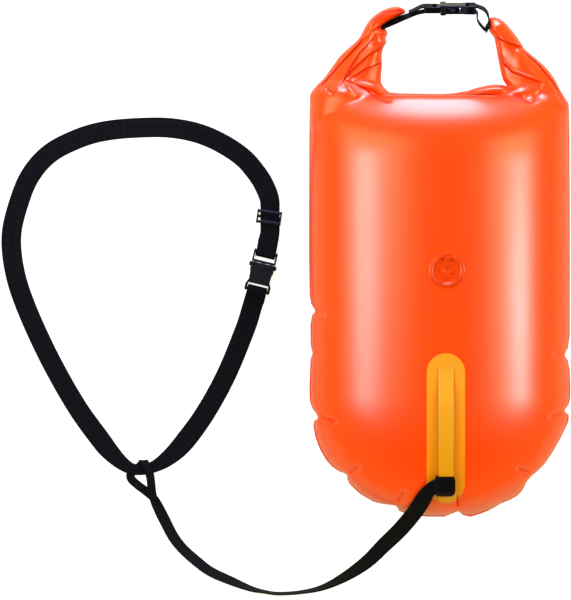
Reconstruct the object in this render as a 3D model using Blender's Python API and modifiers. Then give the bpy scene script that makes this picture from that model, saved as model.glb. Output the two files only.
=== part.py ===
"""Open water swim buoy: an inflated dry bag with a rolled carry top, a lash handle, a tether and
an adjustable waist belt.

Metres, +Z up. The buoy lies on its back with the roll top towards +Y, and the belt lies on the
floor beside it. The origin is the middle of the flat belly that the floor presses into the bag.
"""

import math

import bmesh
import bpy
from mathutils import Matrix, Vector

# Clearances shared by all the pieces
GAP = 0.0003
OVERRUN = 0.003
MERGE = 0.00001

# Inflated body: two welded skins round an empty dry pouch
BODY_HALF_WIDTH = 0.1615
BODY_HALF_DEPTH = 0.088
BELLY_PRESS = 0.006
TOP_SEAM_Y = 0.262
BOTTOM_SEAM_Y = -0.264
BOTTOM_FLAT = 0.023
TOP_CORNER_RADIUS = 0.018
TOP_END_LENGTH = 0.085
SKIN_WALL = 0.001
SKIN_COLUMNS = 16
SEAM_BAND = 0.002
SEAM_GAP = 0.0004
POUCH_THICKNESS = 0.0012
END_FULLNESS_SHARE = 2.4

# Creases that run in from the seam: side, place along the seam and depth, as shares
PUCKER_DEPTH = 0.011
PUCKER_WIDTH = 0.009
PUCKER_REACH = 0.055
PUCKER_SHARES = [
    (-1, 0.566, 0.6), (-1, 0.482, 0.3), (-1, 0.352, 0.75), (-1, 0.216, 0.7), (-1, 0.094, 0.85),
    (1, 0.034, 0.95), (1, 0.125, 0.3), (1, 0.216, 1.0), (1, 0.363, 0.65), (1, 0.478, 0.7),
]

# Rolled top: its two ends stand up into the carry handle
ROLL_FOLD = 0.0022
ROLL_TWIST = math.radians(52)
ROLL_HALF_HEIGHT = 0.021
ROLL_STRAP_THICKNESS = 0.0016
ROLL_LEFT_FOOT_X = -0.1110
ROLL_LEFT_FOOT_HALF_WIDTH = 0.0475
ROLL_RIGHT_FOOT_X = 0.1210
ROLL_RIGHT_FOOT_HALF_WIDTH = 0.0375

# Middle of the roll, which lies behind the top seam and sags between the two ends
ROLL_MIDDLE_FOLD = 0.0010
ROLL_MIDDLE_HALF_WIDTH = 0.0050
ROLL_MIDDLE_HALF_HEIGHT = 0.012
ROLL_MIDDLE_SAG = 0.020
ROLL_MIDDLE_CLEARANCE = 0.0003

# Stations of the roll's ends, as shares from the foot to the tip across and along the bag, of
# the foot's half width and of the half height
LEFT_END_SHARES = [
    (0, 0, 1, 0.762), (0.060, 0.177, 0.811, 0.810), (0.180, 0.394, 0.600, 0.905),
    (0.361, 0.622, 0.421, 0.952), (0.526, 0.792, 0.316, 1), (0.707, 0.915, 0.221, 1),
    (0.887, 0.976, 0.126, 0.952), (1, 1, 0.074, 0.762),
]
RIGHT_END_SHARES = [
    (0, 0, 1, 0.762), (0.160, 0.216, 0.853, 0.810), (0.368, 0.457, 0.600, 0.857),
    (0.576, 0.697, 0.440, 0.952), (0.768, 0.864, 0.333, 1.05), (0.912, 0.958, 0.253, 1.1),
    (1, 1, 0.173, 1.1),
]

# Middle of the roll: shares of the body's half width and of the sag
ROLL_MIDDLE_SHARES = [
    (-0.619, 0), (-0.483, 0.5), (-0.322, 0.9), (-0.124, 1), (0.062, 1), (0.198, 0.65),
    (0.322, 0.25), (0.446, 0), (0.619, 0),
]

# Inflation valve on the front skin
VALVE_X = 0.0075
VALVE_Y = 0.0419
VALVE_FLANGE_RADIUS = 0.0217
VALVE_FLANGE_THICKNESS = 0.0016
VALVE_LIP_RADIUS = 0.0175
VALVE_LIP_WIDTH = 0.0019
VALVE_LIP_HEIGHT = 0.0009
VALVE_CONE_DEPTH = 0.005
VALVE_STEM_RADIUS = 0.0096
VALVE_BORE_RADIUS = 0.0064
VALVE_STEM_LENGTH = 0.0136
VALVE_SEAT_DEPTH = 0.0024
VALVE_CAP_RADIUS = 0.0093
VALVE_CAP_THICKNESS = 0.0018
VALVE_PLUG_DEPTH = 0.003
VALVE_PLUG_TAPER = 0.0014
VALVE_TAB_WIDTH = 0.0116
VALVE_TAB_THICKNESS = 0.0012
VALVE_TAB_REACH = 0.0186
VALVE_RING_RADIUS = 0.0044
VALVE_RING_WIDTH = 0.001
VALVE_RING_HEIGHT = 0.0006
VALVE_FLAP_THICKNESS = 0.0006

# Lash handle: a welded patch and the raised band that the tether is looped round
PATCH_X = 0.00625
PATCH_TOP_Y = -0.0606
PATCH_BOTTOM_Y = -0.2469
PATCH_HALF_WIDTH = 0.02375
PATCH_THICKNESS = 0.001
BAND_TOP_Y = -0.0765
BAND_BOTTOM_Y = -0.2435
BAND_HALF_WIDTH = 0.0095
BAND_THICKNESS = 0.0022
BAND_LIFT = 0.009
BAND_FOOT = 0.005
BAND_RISE = 0.014

# Webbing
TETHER_WIDTH = 0.020
TETHER_THICKNESS = 0.0014
HITCH_TOP_Y = -0.209
HITCH_BOTTOM_Y = -0.231
HITCH_WALL = 0.0018
EYE_WIDTH = 0.0106
EYE_THICKNESS = 0.002
BELT_WIDTH = 0.025
BELT_THICKNESS = 0.0012
LAYER_GAP = 0.0004

# Side-release buckle for the belt's webbing, from the male bar's edge along its length
BUCKLE_BAR_START = 0.0
BUCKLE_BAR_END = 0.0058
BUCKLE_SLOT_END = 0.0134
BUCKLE_BASE_END = 0.0164
BUCKLE_COLLAR_END = 0.023
BUCKLE_LENGTH = 0.054
BUCKLE_TAIL_BAR_WIDTH = 0.0048
BUCKLE_TAIL_SLOT_WIDTH = 0.0057
BUCKLE_CAVITY_WALL = 0.0053
BUCKLE_BASE_HALF_WIDTH = 0.0152
BUCKLE_SLOT_HALF_WIDTH = 0.0130
BUCKLE_COLLAR_HALF_WIDTH = 0.0175
BUCKLE_MOUTH_HALF_WIDTH = 0.0128
BUCKLE_WAIST_HALF_WIDTH = 0.0133
BUCKLE_BODY_HALF_WIDTH = 0.0142
BUCKLE_TAIL_HALF_WIDTH = 0.0162
BUCKLE_BAR_HALF_DEPTH = 0.0020
BUCKLE_BASE_HALF_DEPTH = 0.0032
BUCKLE_COLLAR_HALF_DEPTH = 0.0052
BUCKLE_BODY_HALF_DEPTH = 0.0044
BUCKLE_CAVITY_HALF_DEPTH = 0.0023
BUCKLE_TONGUE_HALF_WIDTH = 0.0026
BUCKLE_TONGUE_HALF_DEPTH = 0.0018
BUCKLE_TONGUE_SETBACK = 0.0072
BUCKLE_ROUNDING = 0.0007
BUCKLE_BAR_SETBACK = 0.0012

# Sprung prong: its root turns in the male base and its pad stands out of the female's side
PRONG_PIVOT_ALONG = 0.0147
PRONG_PIVOT_ACROSS = 0.0098
PRONG_HALF_DEPTH = 0.0020
PRONG_ROOT = 0.0012
PRONG_ARM_INNER = 0.0087
PRONG_ARM_OUTER = 0.0118
PRONG_PAD_ACROSS = 0.0151
PRONG_PAD_SHARE = 0.33
PRONG_TIP_SETBACK = 0.0012
PRONG_TIP_ACROSS = 0.0082
PRONG_POCKET_INNER = 0.0066

# The roll top's buckle is this much larger than the belt's
ROLL_BUCKLE_SHARE = 1.2

# Ladder slider on the belt
SLIDER_HALF_WIDTH = 0.0156
SLIDER_WINDOW_HALF_WIDTH = 0.0135
SLIDER_HALF_LENGTH = 0.009
SLIDER_BAR = 0.0034
SLIDER_BAR_THICKNESS = 0.0012
SLIDER_BAR_SETBACK = 0.0006
SLIDER_ROUNDING = 0.0005
SLIDER_SKEW = math.radians(-8)

# Places worked out from the sizes
BUCKLE_TAIL_BAR_START = BUCKLE_LENGTH - BUCKLE_TAIL_BAR_WIDTH
BUCKLE_TAIL_SLOT_START = BUCKLE_TAIL_BAR_START - BUCKLE_TAIL_SLOT_WIDTH
BUCKLE_CAVITY_END = BUCKLE_TAIL_SLOT_START - BUCKLE_CAVITY_WALL
BUCKLE_TONGUE_END = BUCKLE_CAVITY_END - BUCKLE_TONGUE_SETBACK
PRONG_TIP_ALONG = BUCKLE_CAVITY_END - PRONG_TIP_SETBACK
SEAM_Z = BODY_HALF_DEPTH - BELLY_PRESS
SEAM_LIFT = SEAM_BAND + SEAM_GAP / 2
BOTTOM_END_RADIUS = BODY_HALF_WIDTH - BOTTOM_FLAT / 2
BOTTOM_CENTRE_Y = BOTTOM_SEAM_Y + BOTTOM_END_RADIUS
TOP_FOOT_Y = TOP_SEAM_Y - TOP_END_LENGTH
SEAM_ARC = BOTTOM_FLAT / 2 + BOTTOM_END_RADIUS * math.pi / 2
SEAM_LENGTH = SEAM_ARC + TOP_SEAM_Y - BOTTOM_CENTRE_Y

# Where the buckles and the slider lie
BELT_BUCKLE_PLACE = (-0.2170, 0.0676)
BELT_BUCKLE_TURN = math.radians(256.4)
ROLL_BUCKLE_PLACE = (-0.020, 0.370)
ROLL_BUCKLE_TILT = math.radians(9)

# Tips of the roll's ends and the straps' points, from the near end of the roll's buckle
LEFT_TIP = (-0.0245, -0.0020)
RIGHT_TIP = (0.0137, -0.0120)
LEFT_STRAP_IN = [(-0.0560, -0.0232), (-0.0400, -0.0170), (-0.0280, -0.0122), (-0.0180, -0.0085),
                 (-0.0090, -0.0054)]
LEFT_STRAP_OUT = [(-0.0050, 0.0020), (-0.0120, -0.0018), (-0.0190, -0.0048)]
RIGHT_STRAP_IN = [(0.0282, -0.0250), (0.0192, -0.0160), (0.0137, -0.0112), (0.0110, -0.0060),
                  (0.0078, 0.0005)]
RIGHT_STRAP_OUT = [(0.0022, -0.0060), (0.0042, -0.0110), (0.0072, -0.0200), (0.0112, -0.0280)]
SLIDER_PLACE = (-0.2138, 0.1094)

# Route of the tether from the hitch to the eye: x, y, z, roll in degrees and share of the width
TETHER_ROUTE = [
    (-0.0055, -0.2250, 0.1622, 0, 1), (-0.0118, -0.2300, 0.1560, 0, 1), (-0.0200, -0.2400, 0.1455, 0, 1),
    (-0.0305, -0.2570, 0.1260, 0, 1), (-0.0495, -0.2806, 0.0970, 10, 1), (-0.0688, -0.3000, 0.0680, 20, 1),
    (-0.0913, -0.3224, 0.0400, 35, 1), (-0.1193, -0.3419, 0.0200, 55, 1), (-0.1475, -0.3556, 0.0115, 75, 1),
    (-0.1750, -0.3614, 0.0107, 88, 1), (-0.2030, -0.3630, 0.0107, 90, 1), (-0.2200, -0.3606, 0.0107, 88, 1),
    (-0.2366, -0.3569, 0.0104, 75, 1), (-0.2618, -0.3469, 0.0096, 60, 1), (-0.2869, -0.3356, 0.0092, 55, 1),
    (-0.3053, -0.3219, 0.0090, 52, 1), (-0.3220, -0.3069, 0.0090, 52, 1), (-0.3338, -0.2919, 0.0090, 50, 1),
    (-0.3438, -0.2731, 0.0088, 42, 0.9), (-0.3538, -0.2531, 0.0082, 20, 0.7), (-0.3586, -0.2432, 0.0080, 0, 0.55),
]

# Route of the tether's eye round the belt
EYE_ROUTE = [
    (-0.3588, -0.2428, 0.0080), (-0.3603, -0.2390, 0.0080), (-0.3624, -0.2200, 0.0079),
    (-0.3648, -0.2090, 0.0079), (-0.3684, -0.2018, 0.0077), (-0.3706, -0.1976, 0.0065),
    (-0.3715, -0.1964, 0.0047), (-0.3724, -0.1974, 0.0029), (-0.3742, -0.2010, 0.0015),
    (-0.3800, -0.2068, 0.0013), (-0.3862, -0.2115, 0.0013), (-0.3882, -0.2158, 0.0014),
    (-0.3856, -0.2208, 0.0018), (-0.3776, -0.2278, 0.0030), (-0.3696, -0.2336, 0.0044),
    (-0.3640, -0.2382, 0.0051), (-0.3602, -0.2412, 0.0055),
]

# Route of the belt from the adjuster to the female bar: x, y, z and its share of the full width
BELT_ROUTE = [
    (-0.2152, 0.0790, 0.0066, 1), (-0.2141, 0.0870, 0.0049, 0.96), (-0.2138, 0.0930, 0.0043, 0.94),
    (-0.2138, 0.1094, 0.0043, 0.94), (-0.2138, 0.1260, 0.0043, 0.94), (-0.2140, 0.1330, 0.0042, 0.96),
    (-0.2178, 0.1450, 0.0028, 1), (-0.2263, 0.1606, 0.0012, 1), (-0.2450, 0.1831, 0.0010, 1),
    (-0.2713, 0.2013, 0.0010, 1), (-0.3025, 0.2150, 0.0010, 1), (-0.3388, 0.2219, 0.0010, 1),
    (-0.3788, 0.2219, 0.0010, 1), (-0.4188, 0.2181, 0.0010, 1), (-0.4525, 0.2088, 0.0010, 1),
    (-0.4888, 0.1900, 0.0010, 1), (-0.5138, 0.1619, 0.0010, 1), (-0.5288, 0.1256, 0.0010, 1),
    (-0.5375, 0.0856, 0.0010, 1), (-0.5331, 0.0406, 0.0010, 1), (-0.5181, -0.0056, 0.0010, 1),
    (-0.4900, -0.0669, 0.0010, 1), (-0.4563, -0.1269, 0.0010, 1), (-0.4250, -0.1706, 0.0014, 1),
    (-0.4125, -0.1860, 0.0026, 0.9), (-0.3988, -0.1990, 0.0042, 0.72), (-0.3868, -0.2062, 0.0048, 0.58),
    (-0.3738, -0.2076, 0.0049, 0.54), (-0.3600, -0.2045, 0.0047, 0.58), (-0.3419, -0.1938, 0.0030, 0.8),
    (-0.3206, -0.1731, 0.0012, 1), (-0.2931, -0.1350, 0.0010, 1), (-0.2669, -0.0869, 0.0010, 1),
    (-0.2438, -0.0306, 0.0010, 1), (-0.2360, -0.0060, 0.0014, 1), (-0.2309, 0.0110, 0.0020, 1),
]

# The belt's free end under the slider
BELT_TAIL = [
    (-0.2138, 0.1310, 0.0026, 0.92), (-0.2138, 0.1200, 0.0027, 0.94), (-0.2138, 0.1094, 0.0027, 0.94),
    (-0.2138, 0.0930, 0.0027, 0.94), (-0.2142, 0.0850, 0.0025, 0.97),
]

COLOURS = {
    "orange": ((1.0, 0.055, 0.0, 1), 0.22),
    "yellow": ((1.0, 0.30, 0.008, 1), 0.30),
    "black_webbing": ((0.006, 0.006, 0.006, 1), 0.85),
    "black_plastic": ((0.008, 0.008, 0.009, 1), 0.30),
    "film": ((0.9, 0.9, 0.9, 1), 0.4),
}


def clear_scene():
    """Start from an empty scene with a collection for the buoy and one for its cutters."""
    for old in list(bpy.data.objects):
        bpy.data.objects.remove(old, do_unlink=True)
    for name in ("swim_buoy", "cutters"):
        collection = bpy.data.collections.new(name)
        bpy.context.scene.collection.children.link(collection)


def finish_material(name, colour_name):
    """One Principled material for one piece."""
    colour, roughness = COLOURS[colour_name]
    material = bpy.data.materials.new(name)
    material.use_nodes = True
    shader = material.node_tree.nodes["Principled BSDF"]
    shader.inputs["Base Color"].default_value = colour
    shader.inputs["Roughness"].default_value = roughness
    shader.inputs["Metallic"].default_value = 0.0
    material.diffuse_color = colour
    return material


def add_object(name, mesh, colour_name=None, parent=None, place=None):
    """Put a mesh in the scene as a piece, or as a cutter when it has no colour."""
    piece = bpy.data.objects.new(name, mesh)
    if colour_name:
        bpy.data.collections["swim_buoy"].objects.link(piece)
        mesh.materials.append(finish_material(name, colour_name))
    else:
        bpy.data.collections["cutters"].objects.link(piece)
        piece.hide_render = True
        piece.display_type = "WIRE"
    if parent:
        piece.parent = parent
    if place:
        piece.location = place
    return piece


def add_frame(name, matrix):
    """An empty that carries the pieces of one assembly."""
    frame = bpy.data.objects.new(name, None)
    frame.matrix_world = matrix
    bpy.data.collections["swim_buoy"].objects.link(frame)
    return frame


def mesh_from(name, work):
    """Turn a bmesh into mesh data with its faces pointing out."""
    bmesh.ops.recalc_face_normals(work, faces=work.faces)
    mesh = bpy.data.meshes.new(name)
    work.to_mesh(mesh)
    work.free()
    return mesh


def boolean(piece, cutter, operation="DIFFERENCE"):
    """Cut a piece by another object, or join them."""
    cut = piece.modifiers.new(cutter.name, "BOOLEAN")
    cut.operation = operation
    cut.object = cutter
    cut.solver = "EXACT"


def solidify(piece, thickness, offset):
    """Give an open surface its wall."""
    wall = piece.modifiers.new("wall", "SOLIDIFY")
    wall.thickness = thickness
    wall.offset = offset
    wall.use_even_offset = True


def bevel(piece, width):
    """Take the sharp edges off a moulded piece."""
    if width:
        rounding = piece.modifiers.new("rounding", "BEVEL")
        rounding.width = width
        rounding.segments = 1
        rounding.limit_method = "ANGLE"


def smooth(piece):
    """Shade round forms smooth and keep their real edges."""
    piece.data.shade_smooth()
    piece.data.set_sharp_from_angle(angle=math.radians(40))


def grid_mesh(name, rows):
    """Open surface through rows of points."""
    work = bmesh.new()
    grid = [[work.verts.new(point) for point in row] for row in rows]
    for low, high in zip(grid, grid[1:]):
        for left, right, right_up, left_up in zip(low, low[1:], high[1:], high):
            work.faces.new((left, right, right_up, left_up))
    return mesh_from(name, work)


def loft_mesh(name, sections):
    """Closed solid through rings with the same number of points."""
    work = bmesh.new()
    rings = [[work.verts.new(point) for point in section] for section in sections]
    for low, high in zip(rings, rings[1:]):
        for i in range(len(low)):
            j = (i + 1) % len(low)
            work.faces.new((low[i], low[j], high[j], high[i]))
    work.faces.new(rings[0])
    work.faces.new(rings[-1])
    return mesh_from(name, work)


def box_mesh(name, low, high):
    """Block between two opposite corners."""
    work = bmesh.new()
    bmesh.ops.create_cube(work, size=1.0)
    low, high = Vector(low), Vector(high)
    size = high - low
    middle = (low + high) / 2
    bmesh.ops.transform(work, matrix=Matrix.Translation(middle) @ Matrix.Diagonal(size.to_4d()),
                        verts=work.verts)
    return mesh_from(name, work)


def plate_mesh(name, outline, half_depth):
    """Flat plate from a drawn outline, as a filled curve made into a mesh."""
    curve = bpy.data.curves.new(name, "CURVE")
    curve.dimensions = "2D"
    curve.fill_mode = "BOTH"
    curve.extrude = half_depth
    spline = curve.splines.new("POLY")
    spline.points.add(len(outline) - 1)
    for point, (x, y) in zip(spline.points, outline):
        point.co = (x, y, 0, 1)
    spline.use_cyclic_u = True
    drawn = bpy.data.objects.new(name, curve)
    bpy.data.collections["cutters"].objects.link(drawn)
    seen = drawn.evaluated_get(bpy.context.evaluated_depsgraph_get())
    mesh = bpy.data.meshes.new_from_object(seen)
    bpy.data.objects.remove(drawn)
    work = bmesh.new()
    work.from_mesh(mesh)
    bmesh.ops.remove_doubles(work, verts=work.verts, dist=MERGE)
    bmesh.ops.dissolve_limit(work, angle_limit=math.radians(1), verts=work.verts, edges=work.edges)
    return mesh_from(name, work)


def turned(name, profile, steps, closed, colour_name, parent, place):
    """Piece turned about Z from a profile that runs down its outer side."""
    work = bmesh.new()
    points = [work.verts.new((radius, 0, height)) for radius, height in profile]
    for a, b in zip(points, points[1:]):
        work.edges.new((a, b))
    if closed:
        work.edges.new((points[-1], points[0]))
    mesh = bpy.data.meshes.new(name)
    work.to_mesh(mesh)
    work.free()
    piece = add_object(name, mesh, colour_name, parent, place)
    screw = piece.modifiers.new("turn", "SCREW")
    screw.steps = steps
    screw.render_steps = steps
    screw.use_merge_vertices = True
    screw.merge_threshold = MERGE
    return piece


def smooth_path(points, step):
    """Even points along a smooth curve through chosen ones; every column is carried along."""
    ends = [points[0]] + list(points) + [points[-1]]
    dense = []
    count = 12
    for before, start, end, after in zip(ends, ends[1:], ends[2:], ends[3:]):
        for i in range(count):
            t = i / count
            dense.append([
                0.5 * (2 * b + (c - a) * t + (2 * a - 5 * b + 4 * c - d) * t * t
                       + (3 * b - a - 3 * c + d) * t ** 3)
                for a, b, c, d in zip(before, start, end, after)
            ])
    dense.append(list(points[-1]))
    lengths = [0.0]
    for a, b in zip(dense, dense[1:]):
        lengths.append(lengths[-1] + math.dist(a[:3], b[:3]))
    pieces = max(round(lengths[-1] / step), 2)
    even = []
    i = 0
    for k in range(pieces + 1):
        target = lengths[-1] * k / pieces
        while i < len(dense) - 2 and lengths[i + 1] < target:
            i += 1
        share = (target - lengths[i]) / max(lengths[i + 1] - lengths[i], MERGE)
        even.append([a + (b - a) * share for a, b in zip(dense[i], dense[i + 1])])
    return even


def ribbon(name, path, width, thickness, colour_name, widths=None, rolls=None, guide=None,
           first_width=None, ease=0):
    """Webbing along a path: level across, or kept towards a guide, or rolled about its run."""
    points = [Vector(point[:3]) for point in path]
    across = None
    rows = []
    for i, point in enumerate(points):
        run = points[min(i + 1, len(points) - 1)] - points[max(i - 1, 0)]
        level = guide - guide.project(run) if guide else Vector((run.y, -run.x, 0))
        if level.length > run.length * 0.02:
            level.normalize()
            across = level if across is None or level.dot(across) >= 0 else -level
        roll = math.radians(rolls[i]) if rolls else 0
        side = Matrix.Rotation(roll, 3, run.normalized()) @ across
        if first_width and i < ease:
            side = first_width.lerp(side, i / ease).normalized()
        half = width / 2 * (widths[i] if widths else 1)
        rows.append((point - side * half, point, point + side * half))
    strap = add_object(name, grid_mesh(name, rows), colour_name)
    solidify(strap, thickness, 0)
    return strap


def half_width(y):
    """Half the body's width at y: straight sides, a round bottom and small shoulder corners."""
    top = TOP_SEAM_Y - TOP_CORNER_RADIUS
    if y < BOTTOM_CENTRE_Y:
        radius, drop = BOTTOM_END_RADIUS, BOTTOM_CENTRE_Y - y
    elif y > top:
        radius, drop = TOP_CORNER_RADIUS, y - top
    else:
        return BODY_HALF_WIDTH
    return BODY_HALF_WIDTH - radius + math.sqrt(max(radius ** 2 - drop ** 2, 0))


def half_depth(y):
    """How far one skin bulges from the seam along the body's middle line."""
    share = max((BOTTOM_CENTRE_Y - y) / BOTTOM_END_RADIUS, (y - TOP_FOOT_Y) / TOP_END_LENGTH, 0)
    bulge = BODY_HALF_DEPTH - SEAM_LIFT
    return bulge * (1 - min(share, 1) ** END_FULLNESS_SHARE) ** (1 / END_FULLNESS_SHARE)


def seam_place(x, y):
    """Distance along the seam from the bottom's middle, negative on the left side."""
    beyond = abs(x) - BOTTOM_FLAT / 2
    if y >= BOTTOM_CENTRE_Y:
        place = SEAM_ARC + y - BOTTOM_CENTRE_Y
    elif beyond > 0:
        place = BOTTOM_FLAT / 2 + BOTTOM_END_RADIUS * math.atan2(beyond, BOTTOM_CENTRE_Y - y)
    else:
        place = abs(x)
    return math.copysign(place, x)


def pucker(x, y, height):
    """How far the creases draw the skin in, fading with its height over the seam."""
    place = seam_place(x, y)
    depth = 0
    for side, place_share, depth_share in PUCKER_SHARES:
        away = abs(place - side * place_share * SEAM_LENGTH)
        depth += depth_share * math.exp(-away / PUCKER_WIDTH)
    return PUCKER_DEPTH * depth * max(1 - height / PUCKER_REACH, 0) ** 2


def body_point(angle, y, side=1):
    """Point of the front (side 1) or back (side -1) skin on the half ring at y."""
    height = half_depth(y) * math.sin(angle)
    level = SEAM_Z + side * SEAM_LIFT
    base = Vector((half_width(y) * math.cos(angle), y, level + side * height))
    core = Vector((0, min(max(y, BOTTOM_CENTRE_Y), TOP_FOOT_Y), level))
    point = base + (core - base).normalized() * pucker(base.x, y, height)
    point.z = max(point.z, 0)
    return point


def front_point(x, y, lift=0.0):
    """Point over the front skin at x and y, lifted square to the skin."""
    step = PATCH_THICKNESS / 2

    def at(px, py):
        return body_point(math.acos(max(min(px / half_width(py), 1), -1)), py)

    here = at(x, y)
    normal = (at(x + step, y) - here).cross(at(x, y + step) - here).normalized()
    return here + normal * lift


def body_rows():
    """Y of the rings that both skins share, closer at the ends and at the side creases."""
    end_steps, top_steps, crease_steps = 12, 7, (-1, 0, 1)
    rows = [BOTTOM_CENTRE_Y - BOTTOM_END_RADIUS * math.sin(math.pi / 2 * k / end_steps)
            for k in range(end_steps + 1)]
    rows += [TOP_FOOT_Y + TOP_END_LENGTH * math.sin(math.pi / 2 * k / top_steps)
             for k in range(top_steps + 1)]
    creases = []
    for _, place_share, _ in PUCKER_SHARES:
        y = BOTTOM_CENTRE_Y + place_share * SEAM_LENGTH - SEAM_ARC
        creases += [y + PUCKER_WIDTH * k for k in crease_steps if y > BOTTOM_CENTRE_Y]
    fill_steps = 8
    rows += [BOTTOM_CENTRE_Y + (TOP_FOOT_Y - BOTTOM_CENTRE_Y) * k / fill_steps
             for k in range(1, fill_steps)]
    spread = sorted(row for row in rows
                    if not any(abs(row - y) < PUCKER_WIDTH * 0.6 for y in creases))
    merged = []
    for row in sorted(spread + creases):
        if not merged or row - merged[-1] > PUCKER_WIDTH * 0.1:
            merged.append(row)
    return merged


def skin(name, side):
    """Front or back skin: a dished film that ends in a short band at the seam."""
    rows = [[body_point(math.pi * i / SKIN_COLUMNS, y, side) for i in range(SKIN_COLUMNS + 1)]
            for y in body_rows()]
    mesh = grid_mesh(name, rows)
    work = bmesh.new()
    work.from_mesh(mesh)
    rim = [edge for edge in work.edges if edge.is_boundary]
    grown = bmesh.ops.extrude_edge_only(work, edges=rim)
    band = [item for item in grown["geom"] if isinstance(item, bmesh.types.BMVert)]
    for vertex in band:
        vertex.co.z = SEAM_Z + side * SEAM_GAP / 2
    film = add_object(name, mesh_from(name, work), "orange")
    middle = sum((v.co for v in film.data.vertices), Vector()) / len(film.data.vertices)
    outward = sum(f.normal.dot(f.center - middle) for f in film.data.polygons) > 0
    if not outward:
        film.data.flip_normals()
    solidify(film, SKIN_WALL, -1)
    smooth(film)
    return film


def pouch():
    """Empty dry pouch, welded in at the seam between the two skins."""
    rows = body_rows()
    angles = [math.pi * i / SKIN_COLUMNS for i in range(1, SKIN_COLUMNS)]
    loop = [body_point(0, y) for y in rows]
    loop += [body_point(angle, rows[-1]) for angle in angles]
    loop += [body_point(math.pi, y) for y in reversed(rows)]
    loop += [body_point(angle, rows[0]) for angle in reversed(angles)]
    loop = [Vector((point.x, point.y, SEAM_Z)) for point in loop]
    inset = []
    for i, point in enumerate(loop):
        run_in = (point - loop[i - 1]).normalized()
        run_out = (loop[(i + 1) % len(loop)] - point).normalized()
        normal = Vector((-(run_in + run_out).y, (run_in + run_out).x, 0)).normalized()
        inset.append(point + normal * (SKIN_WALL + 1.5 * GAP))
    work = bmesh.new()
    half = Vector((0, 0, POUCH_THICKNESS / 2))
    sheet = work.faces.new([work.verts.new(point - half) for point in inset])
    raised = bmesh.ops.extrude_face_region(work, geom=[sheet])["geom"]
    top = [item for item in raised if isinstance(item, bmesh.types.BMVert)]
    bmesh.ops.translate(work, vec=half * 2, verts=top)
    add_object("dry_pouch", mesh_from("dry_pouch", work), "film")


def roll_ring(centre, run, half_across, half_height, fold_depth, twist):
    """Fold-marked oval ring of the rolled film, square to its run."""
    sides = 16
    across = Vector((run[1], -run[0], 0)).normalized()
    ring = []
    for i in range(sides):
        angle = 2 * math.pi * i / sides
        fold = fold_depth * math.cos(3 * angle + twist)
        ring.append(Vector(centre) + across * math.cos(angle) * (half_across + fold)
                    + Vector((0, 0, 1)) * math.sin(angle) * (half_height + fold))
    return ring


def back_y(x, z):
    """Y of the back skin's outside under the top seam, at x and z."""
    drop = (SEAM_Z - SEAM_LIFT - z) / math.sqrt(1 - (x / BODY_HALF_WIDTH) ** 2)
    share = min(max(drop / (BODY_HALF_DEPTH - SEAM_LIFT), 0), 1)
    return TOP_FOOT_Y + TOP_END_LENGTH * (1 - share ** END_FULLNESS_SHARE) ** (1 / END_FULLNESS_SHARE)


def roll_end(name, foot, tip, foot_half_width, shares, strap_path):
    """One end of the rolled top, which stands up from the shoulder and takes a strap in its tip."""
    places = [Vector((foot[0] + (tip[0] - foot[0]) * across, foot[1] + (tip[1] - foot[1]) * along, SEAM_Z))
              for across, along, _, _ in shares]
    runs = [after - before for before, after in zip([places[0]] + places, places[1:] + [places[-1]])]
    runs[0] = Vector((0, 1, 0))
    sections = []
    for i, (place, run, (_, _, wide_share, tall_share)) in enumerate(zip(places, runs, shares)):
        ring = roll_ring(place, run, foot_half_width * wide_share, ROLL_HALF_HEIGHT * tall_share,
                         ROLL_FOLD, ROLL_TWIST * i)
        sections.append([Vector((p.x, max(p.y, foot[1]), p.z)) for p in ring])
    end = add_object(name, loft_mesh(name, sections), "orange")
    start = Vector(strap_path[0]) * 2 - Vector(strap_path[1])
    slot = strap_ribbon(name + "_slot", [tuple(start)] + strap_path, None, GAP)
    boolean(end, slot)
    smooth(end)


def strap_ribbon(name, path, colour_name, margin=0.0):
    """Strap of the roll's buckle, on edge with its width along the buckle's."""
    across = Vector((0, math.sin(ROLL_BUCKLE_TILT), -math.cos(ROLL_BUCKLE_TILT)))
    half = BELT_WIDTH * ROLL_BUCKLE_SHARE / 2 + margin
    rows = [(Vector((x, y, SEAM_Z)) - across * half, Vector((x, y, SEAM_Z)) + across * half)
            for x, y in path]
    strap = add_object(name, grid_mesh(name, rows), colour_name)
    solidify(strap, ROLL_STRAP_THICKNESS + 2 * margin, 0)
    return strap


def hairpin(bar_edge, open_edge, side, thickness, share):
    """Side view of webbing that turns round a buckle's bar: along the buckle and out from its
    middle plane, from the side given (-1 is the underside) to the other."""
    radius = BUCKLE_BAR_HALF_DEPTH * share + thickness / 2 + GAP
    steps = 6
    facing = 1 if bar_edge > open_edge else -1
    turn = [(bar_edge * share + facing * radius * math.sin(math.pi * k / steps),
             side * radius * math.cos(math.pi * k / steps)) for k in range(steps + 1)]
    return [(open_edge * share, side * radius)] + turn + [(open_edge * share, -side * radius)]


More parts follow.
